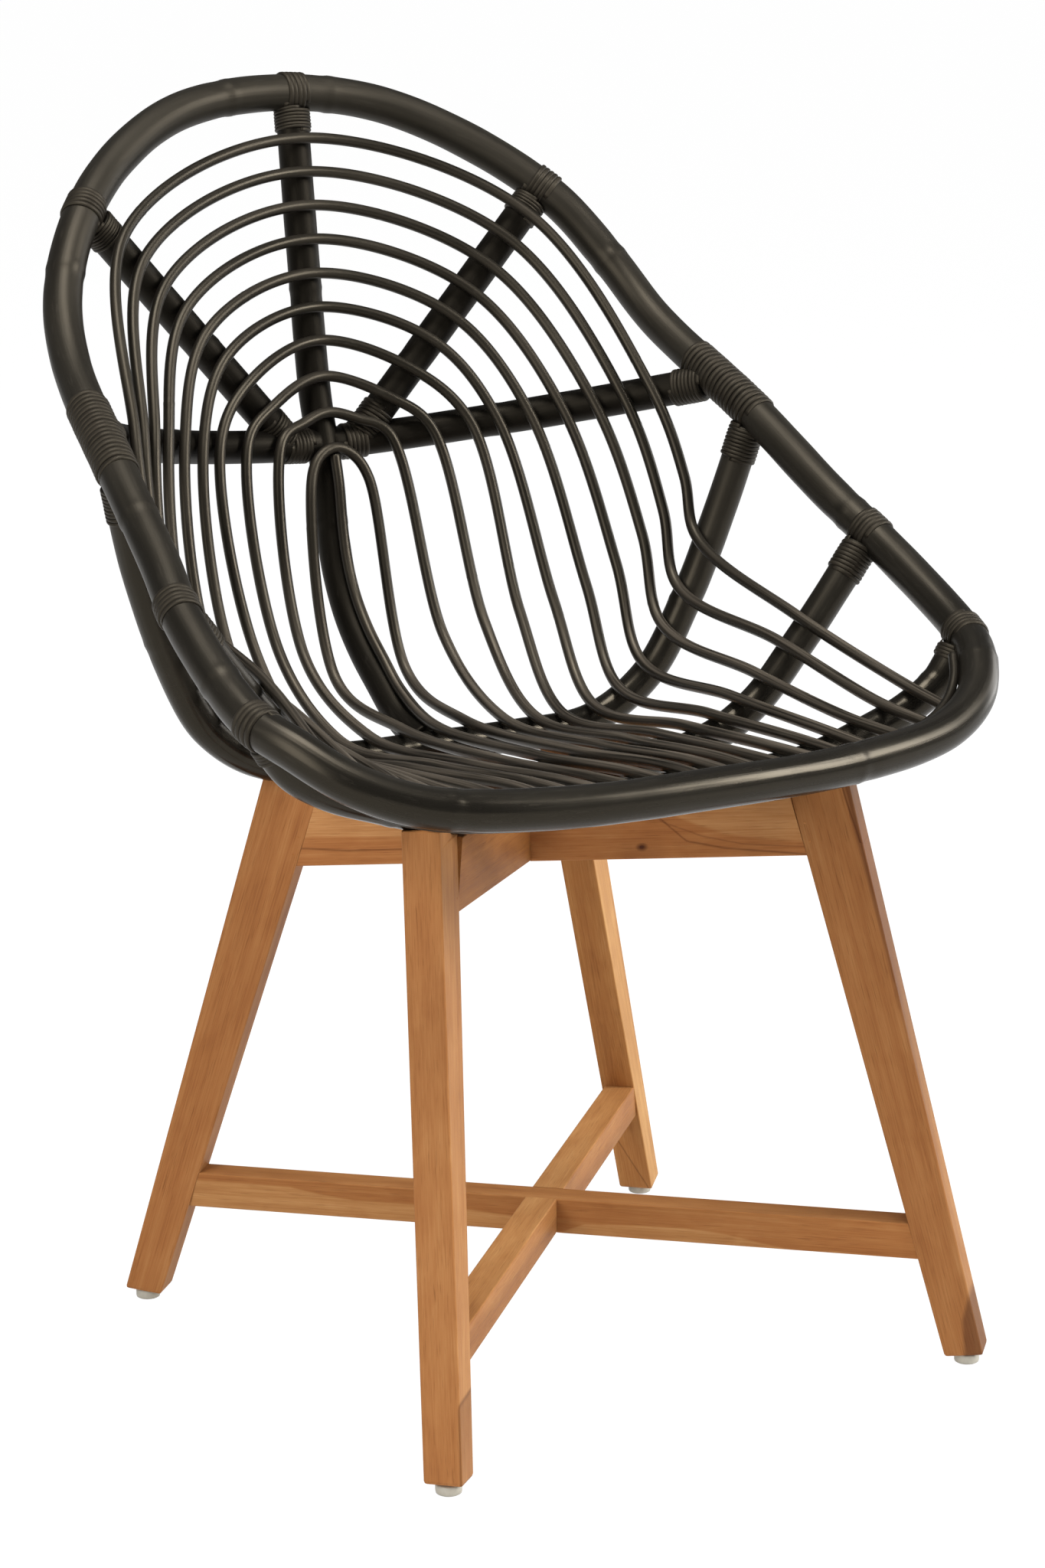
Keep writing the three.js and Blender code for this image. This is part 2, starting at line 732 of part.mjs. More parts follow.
// Glides: a disc under each foot on a nail
function glideSolid(leg, extra = 0) {
  const profile = [
    new THREE.Vector2(0, 0),
    new THREE.Vector2(glideRadius, 0),
    new THREE.Vector2(glideRadius, glideHeight),
    new THREE.Vector2(nailRadius + extra, glideHeight),
    new THREE.Vector2(nailRadius + extra, glideHeight + nailLength + extra),
    new THREE.Vector2(0, glideHeight + nailLength + extra),
  ];
  return turned(profile, leg.foot.clone().setZ(0));
}

// Pins: two through each leg and the lower half of the tenon inside it
function pinSolids(leg, timber, extra = 0) {
  const onLeg = leg.foot.y < 0 ? timber.start : timber.end;
  return [1 / 2, -1 / 2].map((share) => {
    const height = onLeg.z - pinDrop + share * pinSpread;
    const middle = legPoint(leg, height).addScaledVector(leg.inward, pinInset);
    const half = leg.sideways.clone().multiplyScalar(legThickness / 2 + extra);
    return rod(middle.clone().sub(half), middle.clone().add(half), pinRadius + extra);
  });
}

// Half lap where two timbers cross: the first keeps its upper half, the second its lower half
function halfLap([over, under]) {
  const span = over.end.clone().sub(over.start).setZ(0);
  const other = under.end.clone().sub(under.start).setZ(0);
  const offset = under.start.clone().sub(over.start).setZ(0);
  const share = offset.cross(other).z / span.clone().cross(other).z;
  const middle = over.start.clone().lerp(over.end, share);
  const reach = legTopDepth + railHeight;
  const half = (sign) => {
    const centre = middle.clone().addScaledVector(up, sign * (reach - gap / 2));
    return orientedBox(centre, up, 2 * reach, 2 * reach);
  };
  return [
    cut(over.body(), [under.body(gap).intersect(half(-1))]),
    cut(under.body(), [over.body(gap).intersect(half(1))]),
  ];
}

// Materials
function material(color, roughness, metalness = 0) {
  return new THREE.MeshStandardMaterial({ color, roughness, metalness });
}
const rattan = () => material(0x2b2622, 0.45);
const cane = () => material(0x25211d, 0.5);
const teak = () => material(0xa8672f, 0.55);
const plastic = () => material(0xe4e0d6, 0.5);
const steel = () => material(0x8f8f8c, 0.4, 1);

const chair = new THREE.Group();
const seat = new THREE.Group();
const base = new THREE.Group();
chair.add(seat, base);

// Adds a piece as a mesh that sits at its own middle
function addPiece(parent, name, solid, finish) {
  const geometry = geometryOf(solid);
  const mesh = new THREE.Mesh(geometry, finish);
  mesh.name = name;
  geometry.computeBoundingBox();
  geometry.boundingBox.getCenter(mesh.position);
  geometry.translate(-mesh.position.x, -mesh.position.y, -mesh.position.z);
  parent.add(mesh);
}

// Seat pieces
const coreClearances = Object.values(cores).map((core) => core.solid(gap));
const bores = Object.values(legAxes).map((leg) => screwBore(leg));
const rimClearance = rim.solid(gap);
addPiece(seat, "rim_pole", rim.solid(), rattan());
for (const name in ribs) {
  addPiece(seat, name, cut(ribs[name].solid(), [rimClearance, ...coreClearances, ...bores]), rattan());
}
const spineCuts = [rimClearance, rearRib.solid(gap), ...coreClearances];
addPiece(seat, "back_spine", cut(spine.solid(), spineCuts), rattan());
for (const name in sideNames) {
  const armCuts = [rimClearance, spine.solid(gap), ...coreClearances];
  addPiece(seat, "arm_spoke_" + name, cut(arms[name].solid(), armCuts), rattan());
  const diagonalCuts = [...armCuts, arms[name].solid(gap)];
  addPiece(seat, "diagonal_spoke_" + name, cut(diagonals[name].solid(), diagonalCuts), rattan());
}
for (const name in cores) {
  addPiece(seat, name, cut(cores[name].solid(), [rimClearance]), rattan());
}
for (const name in trims) {
  addPiece(seat, name, cut(trims[name].solid(), coreClearances), rattan());
}
for (const name in bindings) {
  addPiece(seat, name, cut(bindings[name], coreClearances), cane());
}

// Base pieces
const ribClearances = Object.values(ribs).map((one) => one.solid(gap));
const timberOf = (name) => (name === "front_right" || name === "rear_left" ? 0 : 1);
for (const name in legAxes) {
  const leg = legAxes[name];
  const rail = rails[timberOf(name)];
  const stretcher = stretchers[timberOf(name)];
  const solid = cut(legSolid(leg), [
    ...ribClearances,
    rail.tenons(gap),
    stretcher.tenons(gap),
    ...pinSolids(leg, rail, gap),
    screwBore(leg),
    glideSolid(leg, gap),
  ]);
  addPiece(base, "leg_" + name, solid, teak());
  addPiece(base, "floor_glide_" + name, glideSolid(leg), plastic());
  addPiece(base, "rib_screw_" + name, screwSolid(leg), steel());
  pinSolids(leg, rail).forEach((pin, index) => {
    addPiece(base, "rail_pin_" + name + (index ? "_lower" : "_upper"), pin, teak());
  });
}
const pinBores = Object.entries(legAxes).flatMap(([name, leg]) =>
  pinSolids(leg, rails[timberOf(name)], gap),
);
for (const [name, timbers] of [
  ["top_rail", rails],
  ["stretcher", stretchers],
]) {
  halfLap(timbers).forEach((body, index) => {
    const whole = body.add(timbers[index].tenons());
    const solid = cut(whole, [...ribClearances, ...pinBores, ...bores]);
    addPiece(base, name + (index ? "_under" : "_over"), solid, teak());
  });
}

// The middle of the chair's depth goes to the origin
const bounds = new THREE.Box3().setFromObject(chair);
chair.position.y = -(bounds.min.y + bounds.max.y) / 2;

export default chair;
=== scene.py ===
"""A round bucket chair: black-stained rattan poles, cores and cane bindings on a teak base."""
import math

import bpy
import numpy as np
from mathutils import Matrix


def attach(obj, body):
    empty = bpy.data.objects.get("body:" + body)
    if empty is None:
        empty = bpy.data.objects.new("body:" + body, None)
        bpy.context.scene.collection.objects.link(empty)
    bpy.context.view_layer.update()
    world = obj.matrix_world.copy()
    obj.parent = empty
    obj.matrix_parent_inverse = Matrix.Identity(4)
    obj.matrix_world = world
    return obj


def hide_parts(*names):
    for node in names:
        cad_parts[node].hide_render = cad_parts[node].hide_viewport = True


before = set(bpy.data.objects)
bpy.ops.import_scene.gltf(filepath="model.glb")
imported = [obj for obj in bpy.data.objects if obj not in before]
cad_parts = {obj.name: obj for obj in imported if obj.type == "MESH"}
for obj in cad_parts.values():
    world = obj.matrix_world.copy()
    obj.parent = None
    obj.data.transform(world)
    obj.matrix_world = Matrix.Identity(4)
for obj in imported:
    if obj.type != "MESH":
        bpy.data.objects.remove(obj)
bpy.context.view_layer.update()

MM = 0.001
TURN = 2 * math.pi

# The camera of the photograph: metres, radians, and pixels of its 1365 x 2048 frame
PHOTO_WIDTH = 1365
PHOTO_HEIGHT = 2048
CAMERA_PLACE = (-1.391658, -2.338137, 1.025666)
CAMERA_YAW = -0.5577275
CAMERA_PITCH = 0.2493896
CAMERA_ROLL = -0.0058897
FOCAL_PIXELS = 5021.44
PRINCIPAL_POINT = (738.54, 1127.376)
SENSOR_HEIGHT = 36.0

# Sizes of the seat, in millimetres, as the CAD has them
RIM_HALF_WIDTH = 286
RIM_DEPTH = 600
RIM_FRONT_REACH = 212
SEAT_FRONT_HEIGHT = 447
BACK_HEIGHT = 873
RIM_RADIUS = 14
POLE_RADIUS = 12.5
RIB_RADIUS = 12.3
HUB_SHIFT = 8
FAN_DROP = 32
FRONT_RIB_REACH = 107
MIDDLE_RIB_REACH = 12
REAR_RIB_REACH = 161
FRONT_RIB_DROP = 26
REAR_RIB_DROP = 41
CORE_RADIUS = 4.2
FIRST_CORE_DROP = 37
CORE_PITCH = 25.3
CORE_ROUNDNESS = 25
CORE_ROW_DROP = 6
CORE_TAIL = 12
INNER_ARCH_HALF_WIDTH = 24.7
INNER_ARCH_HEIGHT = 25.1
TRIM_RADIUS = 3.4
TRIM_MARGIN = 15
TRIM_KNOTS = 12
BINDING_THICKNESS = 1.6
JOINT_BINDING_LENGTH = 22
SIDE_BINDING_LENGTH = 84
POLE_BINDING_REACH = 40
FRONT_LASHING_REACH = 25
SPOKE_BINDING_REACH = 31
HUB_BINDING_START = 7
HUB_BINDING_END = 32
FAN_BINDING_END = 76
GAP = 0.3

# Sizes of the base. Each row of legs: half widths at head and foot, where the feet stand from
# front to back, depth of the saddle, drop of the rail
LEG_SIZES = {"front": (158, 214.6, -218.4, 6, 10), "rear": (114, 220.2, 218.4, 3, 13.7)}
LEG_TOP_DEPTH = 45
LEG_FOOT_DEPTH = 28.4
LEG_THICKNESS = 26.5
LEG_ARRIS = 1.1
TIMBER_ARRIS = 1.2
FOOT_RISE = 3.2
MIDDLE_SADDLE_DEPTH = 1.5
RAIL_HEIGHT = 50
RAIL_WIDTH = 28.6
STRETCHER_HEIGHT = 26.2
STRETCHER_WIDTH = 23.7
STRETCHER_TOP = 101.5
PIN_RADIUS = 1.1
PIN_SPREAD = 12.8
PIN_DROP = 9
PIN_INSET = 16.6
GLIDE_RADIUS = 9
GLIDE_HEIGHT = 7
FOOT_HEIGHT = GLIDE_HEIGHT + GAP - FOOT_RISE * (1 / 2 - GLIDE_RADIUS / LEG_FOOT_DEPTH)
DEPTH_SHIFT = -83.1581650

# Rim outline from its front to its top: shares of half width, depth and height
RIM_SHARES = np.array([
    (0, 0, 0), (0.423, 0.012, 0.002), (0.724, 0.038, 0.023), (0.871, 0.072, 0.061),
    (0.958, 0.123, 0.108), (1, 0.182, 0.141), (0.997, 0.335, 0.251), (0.962, 0.433, 0.333),
    (0.927, 0.57, 0.451), (0.864, 0.747, 0.594), (0.811, 0.817, 0.695), (0.706, 0.873, 0.805),
    (0.521, 0.94, 0.906), (0.287, 0.987, 0.977), (0, 1, 1)])
FRONT_JOINT, MIDDLE_JOINT, REAR_JOINT = 0.152, 0.21, 0.277
ARM_JOINT, SIDE_BINDING, DIAGONAL_JOINT, SPINE_JOINT = 0.296, 0.292, 0.3965, 0.4938
SPINE_SHARES = np.array([
    (1.1, 0.898, 0.749), (1, 0.827, 0.522), (1, 0.779, 0.437), (0.9, 0.739, 0.379),
    (0.65, 0.695, 0.291), (0.45, 0.642, 0.227), (0.3, 0.558, 0.165), (0.15, 0.451, 0.116),
    (0, 0.327, 0.073), (0, 0.19, 0.026)])
HUB_ROW = 2
FAN_START = 0.16
ARM_BEND = (0.65, 0.105, 0.18)
SPOKE_STEPS = np.linspace(0, 1, 200)[:, None]
SPLINE_STEPS = 40
CHORD_REACH = 0.5
REAR_RIB_SHARES = np.array([
    (1, 1, 1), (0.925, 0.6, 0.69), (0.826, 0.33, 0.39), (0.706, 0.15, 0.152),
    (0.528, 0.04, 0.022), (0.264, 0, 0), (0, 0, 0)])
MIDDLE_RIB_SHARES = np.array([
    (1, 1, 1), (0.887, 0.7, 0.722), (0.782, 0.4, 0.477), (0.655, 0.1, 0.219),
    (0.493, 0, 0.06), (0.246, 0, 0.007), (0, 0, 0)])
FRONT_RIB_SHARES = np.array([
    (1, 1, 1), (0.919, 0.75, 0.613), (0.835, 0.5, 0.42), (0.702, 0.25, 0.244),
    (0.526, 0, 0.069), (0.263, 0, 0.01), (0, 0, 0)])
PITCH_SHARES = [0, 1, 2, 3, 4, 5, 6, 7.1, 8.26, 9.4]
DIAGONAL_SHARES = [0.908, 0.823, 0.735, 0.65, 0.565, 0.48, 0.385, 0.29]
ARM_SHARES = [0.84, 0.76, 0.68, 0.595, 0.51, 0.425, 0.355, 0.253, 0.14]
REAR_SHARES = [0.753, 0.653, 0.577, 0.488, 0.41, 0.338, 0.26, 0.201, 0.14, 0.065]
MIDDLE_SHARES = [0.757, 0.69, 0.603, 0.521, 0.447, 0.375, 0.3, 0.23, 0.16, 0.085]
FRONT_SHARES = [0.79, 0.7, 0.614, 0.543, 0.47, 0.39, 0.3, 0.24, 0.175, 0.1]
END_SHARES = [0.81, 0.735, 0.65, 0.545, 0.465, 0.4, 0.32, 0.24, 0.16, 0.08]
BULGE_SHARES = [0.2, 0.35, 0.5, 0.65, 0.8, 1, 1.2, 1.5, 2, 2.1]
BULGE_PLACE = 0.6
CENTRE_CORE_SHARES = [0.54, 0.59, 0.65, 0.71, 0.77, 0.83, 0.89]
SHOULDER_SHARES = {8: (0.51, 0.355, 0.355), 9: (0.577, 0.246, 0.246)}

UP = np.array([0.0, 0.0, 1.0])
ACROSS = np.array([1.0, 0.0, 0.0])
LEVEL = np.array([1.0, 1.0, 0.0])
SITTER = np.array([0.0, 0.0, (BACK_HEIGHT + SEAT_FRONT_HEIGHT) / 2])
FRAME_SHIFT = np.array([0.0, DEPTH_SHIFT, 0.0])
SIDES = {"left": -1, "right": 1}


def unit(vectors):
    """Vectors divided by their lengths."""
    return vectors / np.linalg.norm(vectors, axis=-1, keepdims=True)


def dot(first, second):
    """Products of vectors, kept as a column."""
    return np.sum(first * second, axis=-1, keepdims=True)


class Path:
    """A line through close points, measured along its length in millimetres."""

    def __init__(self, points, closed=False):
        self.points = np.vstack([points, points[:1]]) if closed else points
        steps = np.linalg.norm(np.diff(self.points, axis=0), axis=1)
        self.run = np.concatenate([[0.0], np.cumsum(steps)])
        self.length = self.run[-1]
        self.closed = closed

    def at(self, distance):
        """Points at distances along the line, interpolated between its points."""
        if self.closed:
            distance = distance % self.length
        return np.stack([np.interp(distance, self.run, column) for column in self.points.T], -1)

    def way(self, distance):
        """Directions at distances: chords from a little before to a little after."""
        return unit(self.at(distance + CHORD_REACH) - self.at(distance - CHORD_REACH))


def spline(places, closed=False):
    """Centripetal spline: each stretch is the cubic whose end slopes follow the square roots of
    the distances between its four neighbouring places."""
    if closed:
        before, start, after, later = [np.roll(places, -step, 0) for step in (-1, 0, 1, 2)]
    else:
        wide = np.vstack([2 * places[0] - places[1], places, 2 * places[-1] - places[-2]])
        before, start, after, later = wide[:-3], wide[1:-2], wide[2:-1], wide[3:]
    span0, span1, span2 = [np.sqrt(np.linalg.norm(last - first, axis=1))[:, None]
                           for first, last in ((before, start), (start, after), (after, later))]
    chord = (after - start) / span1
    slope1 = ((start - before) / span0 - (after - before) / (span0 + span1) + chord) * span1
    slope2 = (chord - (later - start) / (span1 + span2) + (later - after) / span2) * span1
    t = np.arange(SPLINE_STEPS)[None, :, None] / SPLINE_STEPS
    square = -3 * start + 3 * after - 2 * slope1 - slope2
    cube = 2 * start - 2 * after + slope1 + slope2
    terms = [start[:, None], slope1[:, None] * t, square[:, None] * t**2, cube[:, None] * t**3]
    points = sum(terms).reshape(-1, 3)
    return points if closed else np.vstack([points, places[-1:]])


# Rim and the poles behind it, worked out as the CAD does
def rim_places(side):
    """Rim points on one side: shares times half width, depth and height."""
    size = np.array([side * RIM_HALF_WIDTH, RIM_DEPTH, BACK_HEIGHT - SEAT_FRONT_HEIGHT])
    return RIM_SHARES * size + np.array([0, -RIM_FRONT_REACH, SEAT_FRONT_HEIGHT])


rim = Path(spline(np.vstack([rim_places(1), rim_places(-1)[-2:0:-1]]), closed=True), closed=True)


def rim_run(share, side):
    """Distance along the rim of a share of its length from the front, round one side."""
    return rim.length * (share if side > 0 else 1 - share)


def rim_point(share, side):
    """The rim's point at that distance."""
    return rim.at(rim_run(share, side))


class Pole:
    """A pole: its line, its radius and the stretches that a binding thickens."""

    def __init__(self, points, radius, wraps=(), closed=False):
        self.line = Path(points, closed)
        self.length = self.line.length
        self.radius = radius
        self.wraps = wraps


def rib(shares, joint_share, reach, height):
    """Rib: each half goes from the bottom to its joint on the rim by shares of the way."""
    halves = []
    for side in (-1, 1):
        joint = rim_point(joint_share, side)
        size = np.array([joint[0], joint[1] - reach, joint[2] - height])
        halves.append(shares * size + np.array([0, reach, height]))
    return Pole(spline(np.vstack([halves[0], halves[1][-2::-1]])), RIB_RADIUS)


rear_rib_height = SEAT_FRONT_HEIGHT - REAR_RIB_DROP
front_rib_height = SEAT_FRONT_HEIGHT - FRONT_RIB_DROP
rear_rib = rib(REAR_RIB_SHARES, REAR_JOINT, REAR_RIB_REACH, rear_rib_height)
front_rib = rib(FRONT_RIB_SHARES, FRONT_JOINT, -FRONT_RIB_REACH, front_rib_height)


class Leg:
    """A leg: its line from foot to head, and the directions of its broad and narrow section. The
    head is let into the underside of the rib that it bears."""

    def __init__(self, side, carrier, head_half_width, foot_half_width, foot_y, saddle, rail_drop):
        points = carrier.line.points[np.argsort(carrier.line.points[:, 0])]
        head = [np.interp(side * head_half_width, points[:, 0], points[:, k]) for k in range(3)]
        self.carrier = carrier
        self.rail_drop = rail_drop
        self.head = np.array(head) + UP * (saddle - RIB_RADIUS)
        self.foot = np.array([side * foot_half_width, foot_y, FOOT_HEIGHT])

    def face(self, other):
        """Turns the broad section towards the opposite leg."""
        inward = unit(other.foot - self.foot) + unit(other.head - self.head)
        self.inward = unit(inward * LEVEL)
        self.sideways = np.cross(UP, self.inward)

    def at(self, height):
        """The middle of the leg at a height."""
        share = (height - self.foot[2]) / (self.head[2] - self.foot[2])
        return self.foot + (self.head - self.foot) * share[..., None]


legs = {"%s_%s" % (row, name): Leg(side, carrier, *LEG_SIZES[row])
        for row, carrier in (("front", front_rib), ("rear", rear_rib))
        for name, side in SIDES.items()}
OPPOSITE = dict(zip(legs, reversed(legs)))
for leg_name, leg in legs.items():
    leg.face(legs[OPPOSITE[leg_name]])

# The front leg of each crossed timber, and the ends of its middle line on its two legs
FRONT_LEGS = {"over": "front_right", "under": "front_left"}
rails, stretchers = {}, {}
for label, leg_name in FRONT_LEGS.items():
    pair = (legs[leg_name], legs[OPPOSITE[leg_name]])
    rails[label] = [leg.at(leg.head[2] - leg.rail_drop - RAIL_HEIGHT / 2) for leg in pair]
    stretchers[label] = [leg.at(STRETCHER_TOP - STRETCHER_HEIGHT / 2) for leg in pair]
rail_start, rail_end = rails["over"]
rail_share = (MIDDLE_RIB_REACH - rail_start[1]) / (rail_end[1] - rail_start[1])
rail_top = rail_start[2] + (rail_end[2] - rail_start[2]) * rail_share + RAIL_HEIGHT / 2
middle_rib_height = rail_top + RIB_RADIUS - MIDDLE_SADDLE_DEPTH
middle_rib = rib(MIDDLE_RIB_SHARES, MIDDLE_JOINT, MIDDLE_RIB_REACH, middle_rib_height)

spine_top = rim_point(SPINE_JOINT, 1)
spine_foot = np.array([0, REAR_RIB_REACH, rear_rib_height])
spine_size = np.array([HUB_SHIFT, spine_top[1] - spine_foot[1], spine_top[2] - spine_foot[2]])
spine_places = SPINE_SHARES * spine_size + spine_foot * (0, 1, 1)
hub = spine_places[HUB_ROW]
back_way = spine_places[HUB_ROW + 1] - spine_places[HUB_ROW - 1]
spine = Pole(spline(np.vstack([spine_top, spine_places, spine_foot])), POLE_RADIUS)


def diagonal_spoke(side):
    """Diagonal spoke: a straight line from the fan of poles at the hub to the rim."""
    start, end = hub - UP * FAN_DROP, rim_point(DIAGONAL_JOINT, side)
    spoke = Pole(start + (end - start) * SPOKE_STEPS, POLE_RADIUS)
    spoke.wraps = [(0, FAN_BINDING_END), (spoke.length - SPOKE_BINDING_REACH, spoke.length)]
    return spoke


def arm_spoke(side):
    """Arm spoke: a quadratic curve from beside the hub past its bend to the rim."""
    end = rim_point(ARM_JOINT, side)
    start = hub + np.array([side * POLE_RADIUS / 2, 0, 0])
    bend = hub + (end - hub) * ARM_BEND
    t = SPOKE_STEPS
    points = (1 - t) ** 2 * start + 2 * t * (1 - t) * bend + t**2 * end
    return Pole(points, POLE_RADIUS, [(HUB_BINDING_START, HUB_BINDING_END)])


diagonals = {side: diagonal_spoke(side) for side in (-1, 1)}
arms = {side: arm_spoke(side) for side in (-1, 1)}


class Station:
    """Where a core crosses a carrier: the point, the carrier's way and the core's lift."""

    def __init__(self, carrier, distance):
        wrapped = any(first < distance < last for first, last in carrier.wraps)
        self.point = carrier.line.at(distance)
        self.along = carrier.line.way(distance)
        self.lift = carrier.radius + CORE_RADIUS + 2 * GAP
        self.lift += BINDING_THICKNESS + GAP if wrapped else 0


def rib_station(carrier, share, side):
    """The station at a share of half the rib from its middle."""
    return Station(carrier, carrier.length / 2 * (1 + side * share))


def ride_over(station, way):
    """A core's place on a carrier: off its line, square to both, towards the sitter."""
    normal = unit(np.cross(station.along, way))
    if normal @ (SITTER - station.point) < 0:
        normal = -normal
    return station.point + normal * station.lift


def rim_frame(share, side):
    """A rim point with its directions into the seat and upwards."""
    along = rim.way(rim_run(share, side))
    upward = unit(UP - along * (UP @ along))
    return rim_point(share, side), unit(np.cross(upward, along)), upward


sleeve = GAP + BINDING_THICKNESS
trim_reach = rim.length * FRONT_JOINT - RIB_RADIUS - sleeve - TRIM_RADIUS - TRIM_MARGIN


def core_end(share, side, source):
    """The last places of a core: between the trim rods, and up against the rim."""
    point, inward, upward = rim_frame(share * trim_reach / rim.length, side)
    reach = math.sqrt(RIM_RADIUS**2 - CORE_ROW_DROP**2) - GAP
    end = point + inward * reach - upward * CORE_ROW_DROP
    back = source - end
    back = unit(back - upward * (back @ upward))
    return [end + back * (CORE_TAIL + TRIM_RADIUS), end]


def free_bulge(upper_point, upper_lift, lower_point, swell):
    """Where a core hangs free between two carriers, it swells away from the sitter."""
    way = unit(lower_point - upper_point)
    point = upper_point + (lower_point - upper_point) * BULGE_PLACE
    outward = point - SITTER
    outward = unit(outward - way * (outward @ way))
    return point + outward * (swell - upper_lift)


RIB_CROSSINGS = ((rear_rib, REAR_SHARES), (middle_rib, MIDDLE_SHARES), (front_rib, FRONT_SHARES))


def hairpin_side(index, side, apex, top):
    """Places of one side of a hairpin core, from beside the spine to the seat front: over a
    diagonal spoke and an arm spoke, free, over three ribs, and in between the trim rods. The two
    innermost arches have a shoulder, and the last one comes down beside the spine."""
    if index < len(ARM_SHARES):
        on_arm = Station(arms[side], arms[side].length * ARM_SHARES[index])
        last, lift, held = on_arm.point, on_arm.lift, ride_over(on_arm, back_way)
    else:
        last = top + ACROSS * side * INNER_ARCH_HALF_WIDTH + apex.along * INNER_ARCH_HEIGHT
        lift, held = 0, last
    places = []
    if index < len(DIAGONAL_SHARES):
        station = Station(diagonals[side], diagonals[side].length * DIAGONAL_SHARES[index])
        places.append(ride_over(station, last - apex.point))
    on_seat = [rib_station(carrier, shares[index], side) for carrier, shares in RIB_CROSSINGS]
    free = free_bulge(last, lift, on_seat[0].point, CORE_ROUNDNESS * BULGE_SHARES[index])
    points = [free] + [station.point for station in on_seat]
    points.append(rim_point(END_SHARES[index] * trim_reach / rim.length, side))
    places += [held, free]
    places += [ride_over(station, points[order + 2] - points[order])
               for order, station in enumerate(on_seat)]
    if index in SHOULDER_SHARES:
        places.insert(0, top + (places[0] - top) * SHOULDER_SHARES[index])
    return places + core_end(END_SHARES[index], side, places[-1])


def hairpin(index):
    """A hairpin core: it turns over the spine and comes down on both sides."""
    apex = Station(spine, FIRST_CORE_DROP + CORE_PITCH * PITCH_SHARES[index])
    if index == len(ARM_SHARES):
        apex.lift += BINDING_THICKNESS + GAP
    top = ride_over(apex, ACROSS)
    right = hairpin_side(index, 1, apex, top)
    left = hairpin_side(index, -1, apex, top)
    return Pole(spline(np.vstack(left[::-1] + [top] + right)), CORE_RADIUS)


def centre_core():
    """The centre core: down the spine from below the innermost arch, and over the three ribs."""
    start = FIRST_CORE_DROP + CORE_PITCH * PITCH_SHARES[-1] + CORE_RADIUS + 4 * GAP
    places = []
    for run in [start] + [spine.length * share for share in CENTRE_CORE_SHARES]:
        station = Station(spine, run)
        places.append(station.point + unit(np.cross(station.along, ACROSS)) * station.lift)
    for carrier, _ in RIB_CROSSINGS:
        station = rib_station(carrier, 0, 1)
        places.append(station.point + UP * station.lift)
    return Pole(spline(np.vstack(places + core_end(0, 1, places[-1]))), CORE_RADIUS)


def trim_rod(lift):
    """A trim rod along the rim's front, higher than the rim's line by its lift."""
    places = []
    for knot in range(-TRIM_KNOTS, TRIM_KNOTS + 1):
        share = abs(knot) * trim_reach / (TRIM_KNOTS * rim.length)
        point, inward, upward = rim_frame(share, -1 if knot < 0 else 1)
        reach = math.sqrt((RIM_RADIUS + TRIM_RADIUS + GAP) ** 2 - lift**2)
        places.append(point + inward * reach + upward * lift)
    return Pole(spline(np.vstack(places)), TRIM_RADIUS)


# Meshes
def layers(*columns):
    """Numbers widened to one grid and joined as the coordinates of places."""
    return np.stack(np.broadcast_arrays(*columns), -1)


def turned(first, second, angle):
    """Directions turned by angles from a first one towards a second one."""
    return first * np.cos(angle)[..., None] + second * np.sin(angle)[..., None]


def add_object(name, data):
    made = bpy.data.objects.new(name, data)
    bpy.context.scene.collection.objects.link(made)
    return made


def add_mesh(name, points, faces, grain, wear_and_highlight=None, smooth=True, place=None):
    """A mesh in metres. Each corner keeps its straightened place, moved by chance as its grain
    and as it is, and its wear and painted highlight from 0 to 1."""
    mesh = bpy.data.meshes.new(name)
    corners = (points.reshape(-1, 3) + FRAME_SHIFT) * MM
    mesh.from_pydata(corners, [], [corner for face in faces for corner in face.tolist()])
    mesh.validate()
    mesh.polygons.foreach_set("use_smooth", np.full(len(mesh.polygons), smooth))
    kept = {"grain": grain * MM, "wear_and_highlight": np.zeros(len(corners)) if wear_and_highlight is None else wear_and_highlight}
    if place is not None:
        kept["place"] = place * MM
    for layer, values in kept.items():
        kind, field = ("FLOAT", "value") if layer == "wear_and_highlight" else ("FLOAT_VECTOR", "vector")
        store = mesh.attributes.new(layer, kind, "POINT")
        store.data.foreach_set(field, values.astype(np.float32).ravel())
    return add_object(name, mesh)


def grid_faces(rings, around, closed=False):
    """Faces between neighbouring rings. The last joins the first, or both ends are capped."""
    ring = np.arange(rings if closed else rings - 1)[:, None] * around
    corner = np.arange(around)
    following = (corner + 1) % around
    above = (ring + around) % (rings * around)
    quads = layers(ring + corner, ring + following, above + following, above + corner)
    caps = [] if closed else [corner[None, ::-1], (corner + (rings - 1) * around)[None]]
    return [quads.reshape(-1, 4)] + caps


def frames(line, runs):
    """Points and directions along a line: its way, one towards the sitter, and across."""
    centre, way = line.at(runs), line.way(runs)
    facing = SITTER - centre
    facing = unit(facing - way * dot(facing, way))
    return centre, way, facing, np.cross(way, facing)


def waves(random, values, amount, lengths):
    """A smooth irregular curve: sines of given wavelengths with random phases, averaged."""
    phases = random.uniform(0, TURN, len(lengths))
    parts = [np.sin(TURN * values / length + phase) for length, phase in zip(lengths, phases)]
    return amount * sum(parts) / len(lengths)


# Growth of the rattan: lengths along a pole, and swellings as shares of its radius
WAVE_LENGTH = 130
FIRST_NODE = (40, 160)
NODE_PITCH = (170, 320)
NODE_MARGIN = 30
NODE_RIDGE, NODE_HOLLOW = 0.035, 0.02
SLOW_SWELL, OVAL_SWELL, LOBE_SWELL = 0.008, 0.007, 0.003
TWIST = 1.2
DOME_RUNS = np.array([0, 0.025, 0.1])
DOME_SCALES = np.array([0.82, 0.93, 1])
GRAIN_SPREAD = 400


